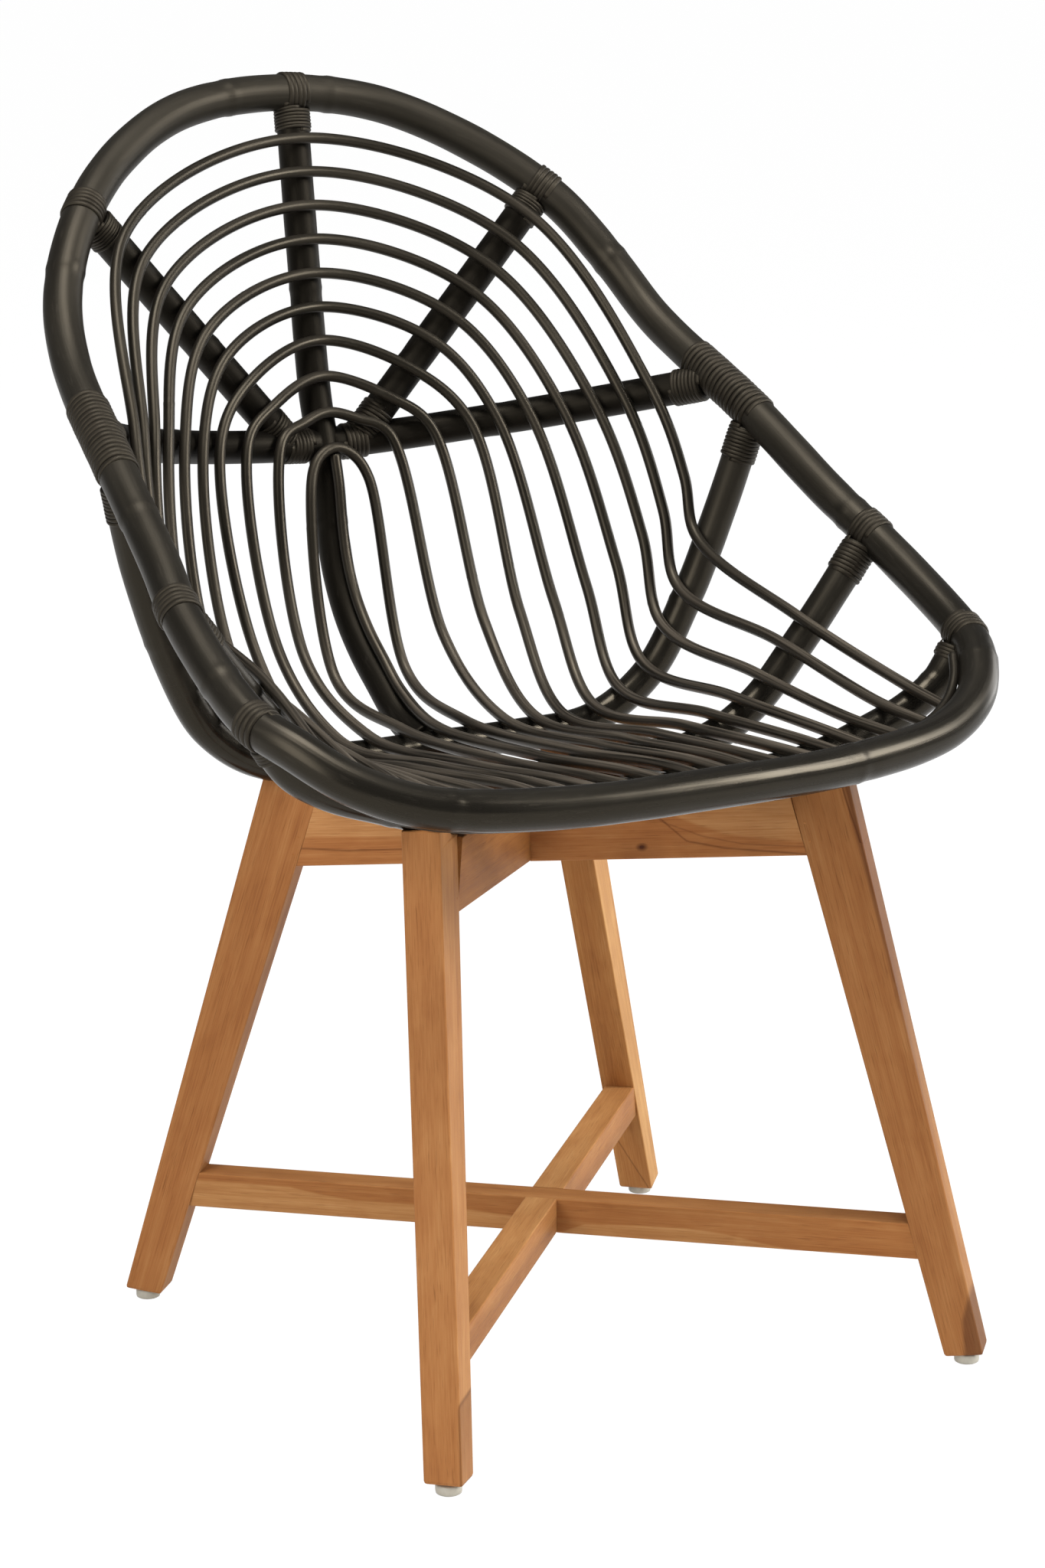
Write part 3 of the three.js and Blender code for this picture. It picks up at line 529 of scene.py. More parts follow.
def loose_grain(random, *columns):
    """Straightened places moved by chance, so that no two pieces share their grain."""
    return layers(*columns) + random.uniform(0, GRAIN_SPREAD, 3)


def sweep(name, pole, around, spacing, seed, start=0.0, stop=0.0, wear_and_highlight=None):
    """A rattan pole: circles carried along its line, from its start to its stop before the end.
    The radius has slow waves, a low ridge and hollow at each natural node, and domed ends."""
    random = np.random.default_rng(seed)
    closed = pole.line.closed
    end = pole.length - stop
    span = end - start
    runs = np.linspace(start, end, max(8, int(span / spacing)), endpoint=not closed)
    if not closed:
        dome = pole.radius * DOME_RUNS
        inner = (runs > start + dome[-1] * 1.5) & (runs < end - dome[-1] * 1.5)
        runs = np.concatenate([start + dome, runs[inner], (end - dome)[::-1]])
    centre, _, facing, across = frames(pole.line, runs)
    angle = np.linspace(0, TURN, around, endpoint=False)[None]
    ridge = np.zeros(len(runs))
    node = random.uniform(*FIRST_NODE)
    while node < end - NODE_MARGIN:
        off = (runs - node) / pole.radius
        hollow = NODE_HOLLOW * np.exp(-((off - 0.5) / 0.5) ** 2)
        ridge += NODE_RIDGE * np.exp(-(off / 0.22) ** 2) - hollow
        node += random.uniform(*NODE_PITCH)
    wave = span / max(1, round(span / WAVE_LENGTH)) if closed else WAVE_LENGTH
    slow = waves(random, runs, SLOW_SWELL, (wave, wave * 0.5, wave * 0.33))
    twist = waves(random, runs, TWIST, (span if closed else wave * 2, wave))[:, None]
    swell = 1 + ridge[:, None] + slow[:, None]
    swell = swell + OVAL_SWELL * np.sin(2 * angle + twist)
    swell = swell + LOBE_SWELL * np.sin(3 * angle - 2 * twist)
    radius = pole.radius * swell
    if not closed:
        radius[:3] *= DOME_SCALES[:, None]
        radius[-3:] *= DOME_SCALES[::-1, None]
    ring = turned(facing[:, None], across[:, None], angle)
    points = centre[:, None] + ring * radius[..., None]
    grain = loose_grain(random, pole.radius * np.cos(angle), pole.radius * np.sin(angle),
                        runs[:, None])
    faces = grid_faces(len(runs), around, closed)
    return add_mesh(name, points, faces, grain, None if wear_and_highlight is None else wear_and_highlight(points, ring))


# A strip of split cane: outline of its section, steps in a turn of it, steps in which its ends dip
STRIP_ALONG = np.array([-1, -0.95, -0.8, -0.45, 0, 0.45, 0.8, 0.95, 1, 0.5, -0.5])
STRIP_HEIGHT = np.array([-0.1, 0.3, 0.66, 0.93, 1, 0.93, 0.66, 0.3, -0.1, -0.25, -0.25])
STRIP_STEPS = 30
STRIP_EASE = 8


def coil(line, radius, first, last, turns, seed, fill):
    """Cane wound round a pole: the section of a strip carried along a helix. The strip fills a
    share of the pitch, the pitch wavers a little, and both ends dip under the neighbouring turn.
    Gives points, faces and grain."""
    random = np.random.default_rng(seed)
    steps = int(turns * STRIP_STEPS)
    angle = np.linspace(0, TURN * turns, steps)
    pitch = (last - first) / turns
    width = pitch * fill
    runs = first + width / 2 + (last - first - width) / (TURN * turns) * angle
    runs = runs + waves(random, angle, pitch * 0.07, (9.1, 5.3, 14.7))
    centre, way, facing, across = frames(line, runs)
    outward = turned(facing, across, angle)
    side = STRIP_ALONG * (width / 2)
    step = np.arange(steps)
    ease = np.clip(np.minimum(step, step[::-1]) / STRIP_EASE, 0, 1)
    height = STRIP_HEIGHT * BINDING_THICKNESS * (0.25 + 0.75 * ease[:, None])
    lifted = radius + height + waves(random, angle, 0.12, (7.7, 3.1))[:, None]
    tilt = waves(random, angle, 0.08, (6.4, 11.3))[:, None] * side
    points = (centre[:, None] + outward[:, None] * (lifted + tilt)[..., None]
              + way[:, None] * side[:, None])
    grain = loose_grain(random, side, lifted, radius * angle[:, None])
    return points.reshape(-1, 3), grid_faces(steps, len(side)), grain.reshape(-1, 3)


def join_parts(name, parts):
    """One mesh from several bodies of points, faces and grain."""
    points, faces, grain = zip(*parts)
    starts = np.cumsum([0] + [len(body) for body in points])
    faces = [face + start for body, start in zip(faces, starts) for face in body]
    return add_mesh(name, np.vstack(points), faces, np.vstack(grain))


# Looks
def arithmetic(operation):
    """A method that adds a Math node of one kind."""
    return lambda value, other: value.math(operation, other)


class Value:
    """A number on a socket. Arithmetic with it adds Math nodes."""

    def __init__(self, finish, socket):
        self.finish = finish
        self.socket = socket

    def math(self, operation, *others):
        inputs = dict(enumerate((self, *others)))
        return self.finish.node("Math", inputs, operation=operation)

    __add__ = arithmetic("ADD")
    __mul__ = arithmetic("MULTIPLY")
    __sub__ = arithmetic("SUBTRACT")
    __truediv__ = arithmetic("DIVIDE")
    __pow__ = arithmetic("POWER")

    def __rsub__(self, other):
        return (self * -1) + other

    def between(self, low, high):
        """0 below low, 1 above high, and straight between them."""
        return ((self - low) * (1 / (high - low))).math("MINIMUM", 1).math("MAXIMUM", 0)


class Finish:
    """The nodes of a material or of the world."""

    def __init__(self, owner):
        owner.use_nodes = True
        self.owner = owner
        self.tree = owner.node_tree
        self.tree.nodes.clear()

    def node(self, kind, inputs=None, output=0, stops=(), **settings):
        """Adds a node, sets its settings and then its sockets, and gives an output."""
        made = self.tree.nodes.new("ShaderNode" + kind)
        for key, value in settings.items():
            setattr(made, key, value)
        if stops:
            for _ in stops[2:]:
                made.color_ramp.elements.new(0.5)
            for element, (place, colour) in zip(made.color_ramp.elements, stops):
                element.position = place
                element.color = (*colour, 1)
        for key, value in (inputs or {}).items():
            if isinstance(value, Value):
                self.tree.links.new(value.socket, made.inputs[key])
            else:
                made.inputs[key].default_value = value
        return Value(self, made.outputs[output]) if made.outputs else None

    def attribute(self, name, output=1):
        return self.node("Attribute", None, output, attribute_name=name)

    def object_place(self):
        return self.node("TexCoord", output="Object")

    def scaled(self, vector, scale):
        return self.node("VectorMath", {0: vector, 1: scale}, operation="MULTIPLY")

    def noise(self, vector, scale, detail, distortion=0.0):
        """Noise whose scale is given per metre along each of the three axes."""
        inputs = {"Vector": self.scaled(vector, scale), "Scale": 1.0, "Detail": detail,
                  "Distortion": distortion}
        return self.node("TexNoise", inputs)

    def mix(self, factor, *colours):
        """A mix of two colours, by a value."""
        first, second = [colour if isinstance(colour, Value) else (*colour, 1)
                         for colour in colours]
        return self.node("Mix", {0: factor, 6: first, 7: second}, 2, data_type="RGBA")

    def part(self, vector, axis):
        """One of the three numbers of a vector."""
        return self.node("SeparateXYZ", {0: vector}, axis)

    def ramp(self, value, stops):
        return self.node("ValToRGB", {0: value}, stops=stops)

    def bump(self, height, distance, strength):
        inputs = {"Height": height, "Distance": distance, "Strength": strength}
        return self.node("Bump", inputs)

    def surface(self, **inputs):
        """The main shader, joined to the output. Gives the finished material."""
        sockets = {key.replace("_", " "): value for key, value in inputs.items()}
        shader = self.node("BsdfPrincipled", sockets)
        self.node("OutputMaterial", {"Surface": shader})
        return self.owner


def new_finish(name):
    return Finish(bpy.data.materials.new(name))


# Tones and marks of the teak: kind, axis across the timber, half width, strength, wandering,
# and the mark's heights at distances along the timber
WOOD = {
    "front_left": ((0.98, 1.02, 1.1), [
        # Painted light: the whole face turned towards the fill lamp is made lighter
        ("sapwood below", 1, 0.3, 0.3, 0, [(0, -12.9), (600, -12.9)]),
        ("streak", 1, 1.3, 0.7, 1, [(8, -12.2), (60, -12.6), (75, -20)])]),
    "front_right": ((0.83, 0.85, 0.9), [
        # Painted light: the whole face turned towards the fill lamp is made lighter
        ("sapwood below", 0, 0.3, 0.45, 0, [(7, -13.9), (411, -22.2)]),
        ("stain below", 0, 1.5, 0.75, 3, [(0, 1), (9, 0), (34, -5), (60, -18)]),
        ("streak", 0, 1.1, 0.85, 1, [
            (0, -60), (365, -60), (372, -19.6), (386, -18.6), (402, -17.2), (420, -16.6)])]),
    "rear_left": ((0.95, 0.97, 1.02), [
        # Painted light: the whole face turned towards the fill lamp is made lighter
        ("sapwood above", 0, 0.3, 0.3, 0, [(7, 13.9), (411, 22.2)])]),
    "rear_right": ((1.09, 1.2, 1.25), [
        # Painted light: the whole face turned towards the fill lamp is made lighter
        ("sapwood above", 1, 0.3, 0.75, 0, [(0, 12.9), (600, 12.9)]),
        ("streak", 1, 1.1, 0.6, 2, [
            (0, 13), (12, 9), (26, 2.7), (43, -4.5), (66, -14), (80, -60)])]),
    "top_rail_over": ((0.97, 0.95, 0.98), [
        ("sapwood above", 0, 1.2, 0.8, 5, [
            (19, -14), (58, -10), (73, -6.8), (91, -0.8), (106, 5), (135, 26), (200, 40),
            (280, 30), (300, -4), (313, -4.5), (358, -2.6), (404, -2)]),
        ("streak", 0, 1.3, 0.6, 5, [
            (0, -25), (18, -23.3), (74, -17.5), (100, -12), (150, 30), (290, 30), (300, -13),
            (350, -13.2), (383, -11)]),
        ("streak", 0, 1.0, 0.4, 5, [(0, -19), (60, -15), (90, -8), (120, 3), (150, 40)]),
        ("stain below", 0, 9, 0.2, 5, [(90, -60), (120, -14), (133, -8), (146, -14), (176, -60)]),
        ("knot", 0, 3.6, 1.3, 1, [(133, -16)])]),
    "top_rail_under": ((1.05, 1.1, 1.1), [
        ("stain below", 0, 6, 0.15, 5, [(0, 10), (120, -4), (400, -10)])]),
    "stretcher_over": ((0.9, 0.89, 0.89), [
        ("sapwood below", 0, 0.7, 0.85, 3, [
            (15, -13.8), (72, -11), (100, -13), (122, -9.7), (151, -4.4), (180, -2.1),
            (216, -2.9), (256, -4.8), (273, -12), (300, -3), (344, 0.2), (387, 1.2), (429, 0.7),
            (457, 3.7), (478, 7.4), (503, 7.8), (548, 7.7)]),
        # Painted light: the top face is made lighter
        ("sapwood above", 0, 0.3, 0.5, 0, [(0, 12.7), (600, 12.7)])]),
    "stretcher_under": ((1.04, 1.12, 1.19), [
        # Painted light: the top face is made lighter
        ("sapwood above", 0, 0.3, 0.35, 0, [(0, 12.7), (600, 12.7)]),
        ("stain below", 0, 4, 0.3, 4, [(0, 8), (200, 2), (600, -6)])]),
}


WARM_SHEEN = (1, 0.85, 0.62, 1)
SCUFF = (0.06, 0.053, 0.044)
# Painted shade: the darker colour given to the low front of the poles
PAINTED_LOW_SHADE = (0.0042, 0.0037, 0.003)
CANE_DARK, CANE_PALE = (0.0055, 0.0045, 0.0034), (0.016, 0.0133, 0.01)
POLISH_AND_SHADE_HEIGHTS = (0.42, 0.6)
OFF_WHITES = (0.5, 0.47, 0.39), (0.43, 0.4042, 0.3354)
ZINCS = (0.42, 0.42, 0.41), (0.6, 0.6, 0.58)
# Black-stained rattan: dark and thin stain, roughness, strength of the streaks, gloss, polish and
# painted shade of the low front
RATTAN = {
    "pole": ((0.008, 0.0071, 0.0057), (0.02, 0.0178, 0.0142), 0.46, 0.6, 0.3, 0.26),
    # The spine and spokes take a darker, less glossy copy of the pole look
    "back": ((0.0038, 0.0033, 0.0026), (0.0095, 0.008, 0.0063), 0.48, 0.5, 0.14, 0),
    # The cores' pale colour is thin stain, and on the seat also wear and painted highlight
    "core": ((0.005, 0.0044, 0.0034), (0.1, 0.083, 0.064), 0.38, 0.14, 0.34, 0)}


def rattan_finish(name, dark, pale, roughness, streak, sheen, polish_and_shade):
    """Black-stained rattan: stain that thins in long streaks, fine fibres and small scuffs. The
    low front of a pole is polished: smoother by the polish, and darker by painted shade."""
    finish = new_finish(name)
    grain = finish.attribute("grain")
    wear_and_highlight = finish.attribute("wear_and_highlight", 2)
    low = 1 - finish.part(finish.object_place(), 2).between(*POLISH_AND_SHADE_HEIGHTS)
    fibres = finish.noise(grain, (600, 600, 10), 2)
    streaks = finish.noise(grain, (160, 160, 6), 2)
    patches = finish.noise(grain, (45, 45, 9), 2)
    scuffs = finish.noise(grain, (420, 420, 60), 2, 0.6).between(0.6, 0.74)
    thin = (streaks * 0.6 + patches * 0.4).between(0.42, 0.68)
    # On the seat cores the pale colour also shows where they face up, as wear and painted highlight
    show = (thin * streak + wear_and_highlight * fibres.between(0.35, 0.65) * 0.9).math("MINIMUM", 1)
    colour = finish.mix(show, dark, pale)
    colour = finish.mix(scuffs * 0.1, colour, SCUFF)
    # Painted shade: the low front of a pole is darkened
    colour = finish.mix(low * polish_and_shade, colour, PAINTED_LOW_SHADE)
    rough = patches * 0.22 + streaks * 0.2 + scuffs * 0.05 + (roughness - 0.2) - low * polish_and_shade
    relief = fibres * 0.15 + streaks * 0.6 + patches * 0.8
    return finish.surface(Base_Color=colour, Roughness=rough, Specular_IOR_Level=sheen,
                          Specular_Tint=WARM_SHEEN, Normal=finish.bump(relief, 0.0008, 0.5))


def cane_finish(name):
    """Black-stained split cane: fine fibres along each strip, and patches of thinner stain."""
    finish = new_finish(name)
    grain = finish.attribute("grain")
    fibres = finish.noise(grain, (1400, 1400, 30), 3)
    patches = finish.noise(grain, (160, 160, 30), 2)
    colour = finish.mix(patches.between(0.35, 0.7), CANE_DARK, CANE_PALE)
    rough = fibres * 0.2 + patches * 0.15 + 0.36
    relief = fibres * 0.6 + patches * 0.4
    return finish.surface(Base_Color=colour, Roughness=rough, Specular_IOR_Level=0.35,
                          Specular_Tint=WARM_SHEEN, Normal=finish.bump(relief, 0.0005, 0.4))


TEAK_STOPS = [(0.0, (0.24, 0.083, 0.023)), (0.35, (0.325, 0.123, 0.035)),
              (0.65, (0.375, 0.154, 0.047)), (1.0, (0.44, 0.203, 0.07))]
PORE, KNOT, STREAK = (0.16, 0.055, 0.014), (0.07, 0.022, 0.008), (0.1, 0.03, 0.009)
# Changes of colour in the teak: lighter for sapwood and for painted light on lit faces, darker for
# stain; and the sizes that a ramp's run and height stand for
CHANGES = {"sapwood": (1.3, 1.6, 1.9), "stain": (0.35, 0.3, 0.35)}
FIGURE_LENGTH = 600
FIGURE_HEIGHT = 120


def teak_finish(name, tone=(1, 1, 1), figure=()):
    """Oiled teak: soft growth bands, fibres and short dark pores. Each mark of the figure follows
    a line of heights along the timber: sapwood, painted light on a lit face, or stain above or
    below it, or a dark streak on it. A knot is round. Lengths are in millimetres."""
    finish = new_finish(name)
    grain = finish.attribute("grain")
    place = finish.attribute("place")
    bend = finish.noise(grain, (16, 16, 2.4), 2)
    rings = finish.noise(grain, (150, 70, 2.2), 3, 0.4)
    mottle = finish.noise(grain, (55, 55, 22), 3, 0.8)
    fibres = finish.noise(grain, (1100, 1100, 22), 3)
    pores = finish.noise(grain, (1700, 1700, 55), 1).between(0.62, 0.74)
    lines = rings * 0.45 + mottle * 0.3 + fibres * 0.4 + bend * 0.25
    colour = finish.ramp(lines.between(0.48, 0.92), TEAK_STOPS)
    colour = finish.mix(pores * 0.45, colour, PORE)
    run = finish.part(place, 2) * (1 / MM)
    waver = bend + fibres * 0.3 - 0.65
    for kind, axis, width, amount, wander, heights in figure:
        height = finish.part(place, axis) * (1 / MM) + waver * wander
        if kind == "knot":
            (middle, level), = heights
            round_off = ((run - middle) * 0.7) ** 2 + (height - level) ** 2
            mask = (1 - round_off ** 0.5 / width).math("MAXIMUM", 0) * amount
            colour = finish.mix(mask.math("MINIMUM", 1), colour, KNOT)
            continue
        line = finish.ramp(run / FIGURE_LENGTH, [
            (distance / FIGURE_LENGTH, (level / FIGURE_HEIGHT + 0.5,) * 3)
            for distance, level in heights])
        off = height - (line - 0.5) * FIGURE_HEIGHT
        if kind == "streak":
            mask = (1 - off.math("ABSOLUTE") / width).math("MAXIMUM", 0)
            colour = finish.mix(mask * amount, colour, STREAK)
        else:
            # Sapwood and painted light make the colour lighter; stain makes it darker
            change, where = kind.split()
            mask = (off * (1 if where == "above" else -1)).between(-width, width)
            changed = finish.scaled(colour, CHANGES[change])
            colour = finish.mix(mask * amount, colour, changed)
    colour = finish.scaled(colour, tone)
    rough = fibres * 0.2 + rings * 0.1 + 0.4
    relief = fibres * 0.5 - pores * 0.8 + rings * 0.3
    return finish.surface(Base_Color=colour, Roughness=rough, Specular_IOR_Level=0.1,
                          Normal=finish.bump(relief, 0.0005, 0.35))


def small_finish(name, scale, colours, spread, roughness, metallic, strength):
    """The finish of a small part: fine marks between two colours, which change its roughness by
    the spread and raise it by the strength."""
    finish = new_finish(name)
    marks = finish.noise(finish.object_place(), scale, 2)
    relief = {"Normal": finish.bump(marks, 0.0002, strength)} if strength else {}
    return finish.surface(Base_Color=finish.mix(marks, *colours), Metallic=metallic,
                          Roughness=marks * spread + roughness, **relief)


pole_look, back_look, core_look = [rattan_finish(key + "_rattan", *row)
                                   for key, row in RATTAN.items()]
cane_look = cane_finish("bound_cane")
teak_look = teak_finish("teak_pins")
glide_look = small_finish("glide_plastic", (400, 400, 400), OFF_WHITES, 0.2, 0.38, 0, 0.3)
steel_look = small_finish("zinc_steel", (900, 900, 2500), ZINCS, 0.25, 0.28, 1, 0)


def place_piece(piece, look, slot, *nodes):
    """Gives a piece its look, and seats it in the frame in place of its CAD nodes."""
    piece.data.materials.append(look)
    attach(piece, "root")
    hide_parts(*nodes)


# Rattan, with the seed of each piece. A pole starts and ends inside the rim that it meets.
RIM_SEAT = RIM_RADIUS * 0.9
POLE_SIDES, POLE_SPACING = 28, 3
CORE_SIDES, CORE_SPACING = 14, 2.5


def add_pole(piece_name, node, pole, look, seed, start=RIM_SEAT, stop=RIM_SEAT, sides=POLE_SIDES):
    piece = sweep(piece_name, pole, sides, POLE_SPACING, seed, start, stop)
    place_piece(piece, look, "rattan", node)


rim_runs = rim_run(SPINE_JOINT, 1) + np.linspace(0, rim.length, 1601)[:-1]
rim_pole = Pole(rim.at(rim_runs), RIM_RADIUS, closed=True)
add_pole("rim", "rim_pole", rim_pole, pole_look, 11, 0, 0, 32)
add_pole("rear_rib_pole", "rear_rib", rear_rib, pole_look, 21)
add_pole("middle_rib_pole", "middle_rib", middle_rib, pole_look, 22)
add_pole("front_rib_pole", "front_rib", front_rib, pole_look, 23)
add_pole("spine_pole", "back_spine", spine, back_look, 31, stop=RIB_RADIUS * 0.8)
for order, (name, side) in enumerate(SIDES.items()):
    arm, diagonal = "arm_spoke_" + name, "diagonal_spoke_" + name
    add_pole(arm + "_pole", arm, arms[side], back_look, 41 + order, 0)
    add_pole(diagonal + "_pole", diagonal, diagonals[side], back_look, 51 + order,
             FAN_START * diagonals[side].length)


def seat_wear_and_highlight(points, ring):
    """Wear and painted highlight on a core: where it faces up, and low down on the seat."""
    low = np.clip((560 - points[..., 2]) / 90, 0, 1)
    return low * np.clip(ring[..., 2] * 1.6 - 0.2, 0, 1)


def add_core(node, pole, seed, wear_and_highlight=None):
    piece = sweep(node + "_cane", pole, CORE_SIDES, CORE_SPACING, seed, wear_and_highlight=wear_and_highlight)
    place_piece(piece, core_look, "rattan", node)


cores = {"hairpin_core_%02d" % (index + 1): hairpin(index) for index in range(len(PITCH_SHARES))}
cores["centre_core"] = centre_core()
for order, (node, pole) in enumerate(cores.items()):
    add_core(node, pole, 61 + order, seat_wear_and_highlight)
rod_spread = CORE_RADIUS + TRIM_RADIUS + GAP
add_core("upper_trim_rod", trim_rod(rod_spread - CORE_ROW_DROP), 81)
add_core("lower_trim_rod", trim_rod(-rod_spread - CORE_ROW_DROP), 82)

# Bindings, with their turns and seeds. The cane fills a share of its pitch.
NEAR = RIM_RADIUS * 0.8
RIM_FILL, POLE_FILL = 0.94, 0.97


def pole_coil(pole, first, last, turns, seed):
    return coil(pole.line, pole.radius, first, last, turns, seed, POLE_FILL)


def at_rim(pole, reach, turns, side=1):
    """The stretch of a pole from the rim to the end of its binding, and its turns. A negative
    side means the pole's first end."""
    if side < 0:
        return pole, NEAR, reach, turns
    return pole, pole.length - reach, pole.length - NEAR, turns


def lashing(piece_name, node, parts):
    place_piece(join_parts(piece_name, parts), cane_look, "cane_binding", node)


def joint_lashing(name, share, side, turns, ends, seed, length=JOINT_BINDING_LENGTH):
    """Turns round the rim, and finer turns round each pole end that meets it there."""
    middle = rim_run(share, side)
    first, last = middle - length / 2, middle + length / 2
    parts = [coil(rim, RIM_RADIUS, first, last, turns, seed, RIM_FILL)]
    parts += [pole_coil(*end, seed + 7 * (order + 1)) for order, end in enumerate(ends)]
    lashing(name + "_lashing", name, parts)


joint_lashing("binding_top", SPINE_JOINT, 1, 5, [at_rim(spine, SPOKE_BINDING_REACH, 7, -1)], 101)
for order, (name, side) in enumerate(SIDES.items()):
    arm, diagonal = arms[side], diagonals[side]
    joint_lashing("binding_diagonal_" + name, DIAGONAL_JOINT, side, 5,
                  [at_rim(diagonal, SPOKE_BINDING_REACH, 7)], 111 + order)
    joint_lashing("binding_arm_" + name, SIDE_BINDING, side, 17.5,
                  [at_rim(arm, POLE_BINDING_REACH, 8), at_rim(rear_rib, POLE_BINDING_REACH, 9, side)],
                  121 + order, SIDE_BINDING_LENGTH)
    joint_lashing("binding_middle_" + name, MIDDLE_JOINT, side, 4.5,
                  [at_rim(middle_rib, POLE_BINDING_REACH, 8, side)], 131 + order)
    joint_lashing("binding_front_" + name, FRONT_JOINT, side, 4.2,
                  [at_rim(front_rib, FRONT_LASHING_REACH, 4, side)], 141 + order)
    fan_start = FAN_START * diagonal.length
    lashing("hub_lashing_" + name, "binding_hub_" + name,
            [pole_coil(arm, HUB_BINDING_START, HUB_BINDING_END, 6, 151 + order),
             pole_coil(diagonal, fan_start, FAN_BINDING_END, 8, 161 + order)])


# Teak
CORNER_POINTS = 5
LEG_RINGS = 40
HALF_RINGS = 30
FOOT_PROFILE = np.array([(0.5, 0), (0.9, 0), (0.96, 0.5), (1, 2)])
HEAD_SCALES = np.array([0.97, 0.8, 0.6, 0.4, 0.2, 0.02])
FIT = 0.05
LAP_GAP = 0.02
LAP_EDGE = 2.0
TIMBER_SPREAD = 900


def rounded_section(width, height, radius):
    """A rectangle with round corners: a quarter circle in each, counted round."""
    quarter, x, y = np.array([(0, 1, 1), (1, -1, 1), (2, -1, -1), (3, 1, -1)]).T[..., None]
    angle = np.linspace(0, math.pi / 2, CORNER_POINTS) + quarter * math.pi / 2
    across = x * (width / 2 - radius) + radius * np.cos(angle)
    up = y * (height / 2 - radius) + radius * np.sin(angle)
    return across.ravel(), up.ravel()


def underside(carrier, points):
    """Height of a rib's underside over points: its local line is straight, and a round section
    of its radius hangs below it."""
    line = carrier.line.points
    distance = np.linalg.norm(points[..., None, :2] - line[:, :2], axis=-1)
    run = carrier.line.run[np.argmin(distance, axis=-1)]
    place, way = carrier.line.at(run), carrier.line.way(run)
    flat = unit(way * LEVEL)
    off = (points - place) * LEVEL
    along = dot(off, flat)[..., 0]
    side = np.linalg.norm(off - flat * along[..., None], axis=-1)
    level = np.linalg.norm(way[..., :2], axis=-1)
    height = place[..., 2] + along * way[..., 2] / level
    hollow = carrier.radius + GAP
    reach = np.sqrt(np.clip(hollow**2 - side**2, 0, None))
    return np.where(side < hollow, height - reach / level, np.inf)


def add_timber(name, points, place, random):
    """A timber of flat facets, from rings of points and their places along it."""
    faces = grid_faces(*points.shape[:2])
    grain = place + random.uniform(0, TIMBER_SPREAD, 3)
    return add_mesh(name, points, faces, grain, smooth=False, place=place)


def leg_piece(name, leg, seed):
    """A leg: rounded rectangles carried from foot to head, wider towards the head, with a
    rounded edge at the foot and a top hollowed by the rib that it bears."""
    share = np.linspace(0, 1, LEG_RINGS)[:, None]
    depth = LEG_FOOT_DEPTH + (LEG_TOP_DEPTH - LEG_FOOT_DEPTH) * share
    broad, narrow = rounded_section(LEG_TOP_DEPTH, LEG_THICKNESS, LEG_ARRIS)
    x = broad + np.sign(broad) * (depth - LEG_TOP_DEPTH) / 2
    y = narrow + 0 * x
    rise = (1 - share) * FOOT_RISE * (1 / 2 - x / LEG_FOOT_DEPTH)
    levels = leg.foot[2] + (leg.head[2] - leg.foot[2]) * share + rise
    foot_scales, foot_lifts = FOOT_PROFILE.T[..., None]
    head_scales = HEAD_SCALES[:, None]
    foot_level = leg.foot[2] + FOOT_RISE * (1 / 2 - x[:1] * foot_scales / LEG_FOOT_DEPTH)
    levels = np.vstack([foot_level + foot_lifts, levels[1:], levels[-1:] + 0 * head_scales])
    x, y = [np.vstack([side[:1] * foot_scales, side[1:], side[-1:] * head_scales])
            for side in (x, y)]
    points = leg.at(levels) + x[..., None] * leg.inward + y[..., None] * leg.sideways
    points[..., 2] = np.minimum(points[..., 2], underside(leg.carrier, points))
    return add_timber(name, points, layers(x, y, levels), np.random.default_rng(seed))


def leg_face(leg):
    """A point and the outward direction of a leg's inner face."""
    low = leg.foot + leg.inward * LEG_FOOT_DEPTH / 2
    high = leg.head + leg.inward * LEG_TOP_DEPTH / 2
    normal = unit(np.cross(high - low, leg.sideways))
    return low, normal if normal @ leg.inward > 0 else -normal


def timber_piece(name, ends, front_name, width, height, keep_top, seed):
    """A crossed timber: a rounded rectangle carried between two leg faces, halved in the middle
    so that it laps over or under the other one."""
    start, end = ends
    along = unit(end - start)
    across = unit(np.cross(UP, along))
    across_section, up_section = rounded_section(width, height, TIMBER_ARRIS)
    offset = across * across_section[:, None] + UP * up_section[:, None]
    limits = []
    for leg in (legs[front_name], legs[OPPOSITE[front_name]]):
        point, normal = leg_face(leg)
        gap = dot(point + normal * FIT - start - offset, normal)[:, 0]
        limits.append(gap / (along @ normal))
    first, last = limits
    crossing = np.linalg.norm(end - start) * start[0] / (start[0] - end[0])
    other_across = np.cross(UP, unit(along * LEVEL) * (-1, 1, 0))
    skew = across_section * (across @ other_across) / (along @ other_across)
    lap = (width / 2 + FIT) / abs(along @ other_across)
    before, after = crossing - lap - skew, crossing + lap - skew
    share = np.linspace(0, 1, HALF_RINGS)[:, None]
    runs = np.vstack([first + (before - first) * share, before, after,
                      after + (last - after) * share])
    sign = 1 if keep_top else -1
    full = up_section * sign
    inner = height / 2 - LAP_EDGE
    rise = (full + height / 2) / (inner + height / 2)
    halved = np.where(full > inner, full, LAP_GAP + rise * (inner - LAP_GAP))
    up = np.vstack([full] * HALF_RINGS + [halved] * 2 + [full] * HALF_RINGS) * sign
    points = (start + along * runs[..., None] + across * across_section[None, :, None]
              + UP * up[..., None])
    place = layers(up, across_section, runs)
    return add_timber(name, points, place, np.random.default_rng(seed))


def add_teak(piece, node):
    look = teak_finish("teak_" + node.replace("leg_", ""), *WOOD[node.replace("leg_", "")])
    place_piece(piece, look, "teak", node)


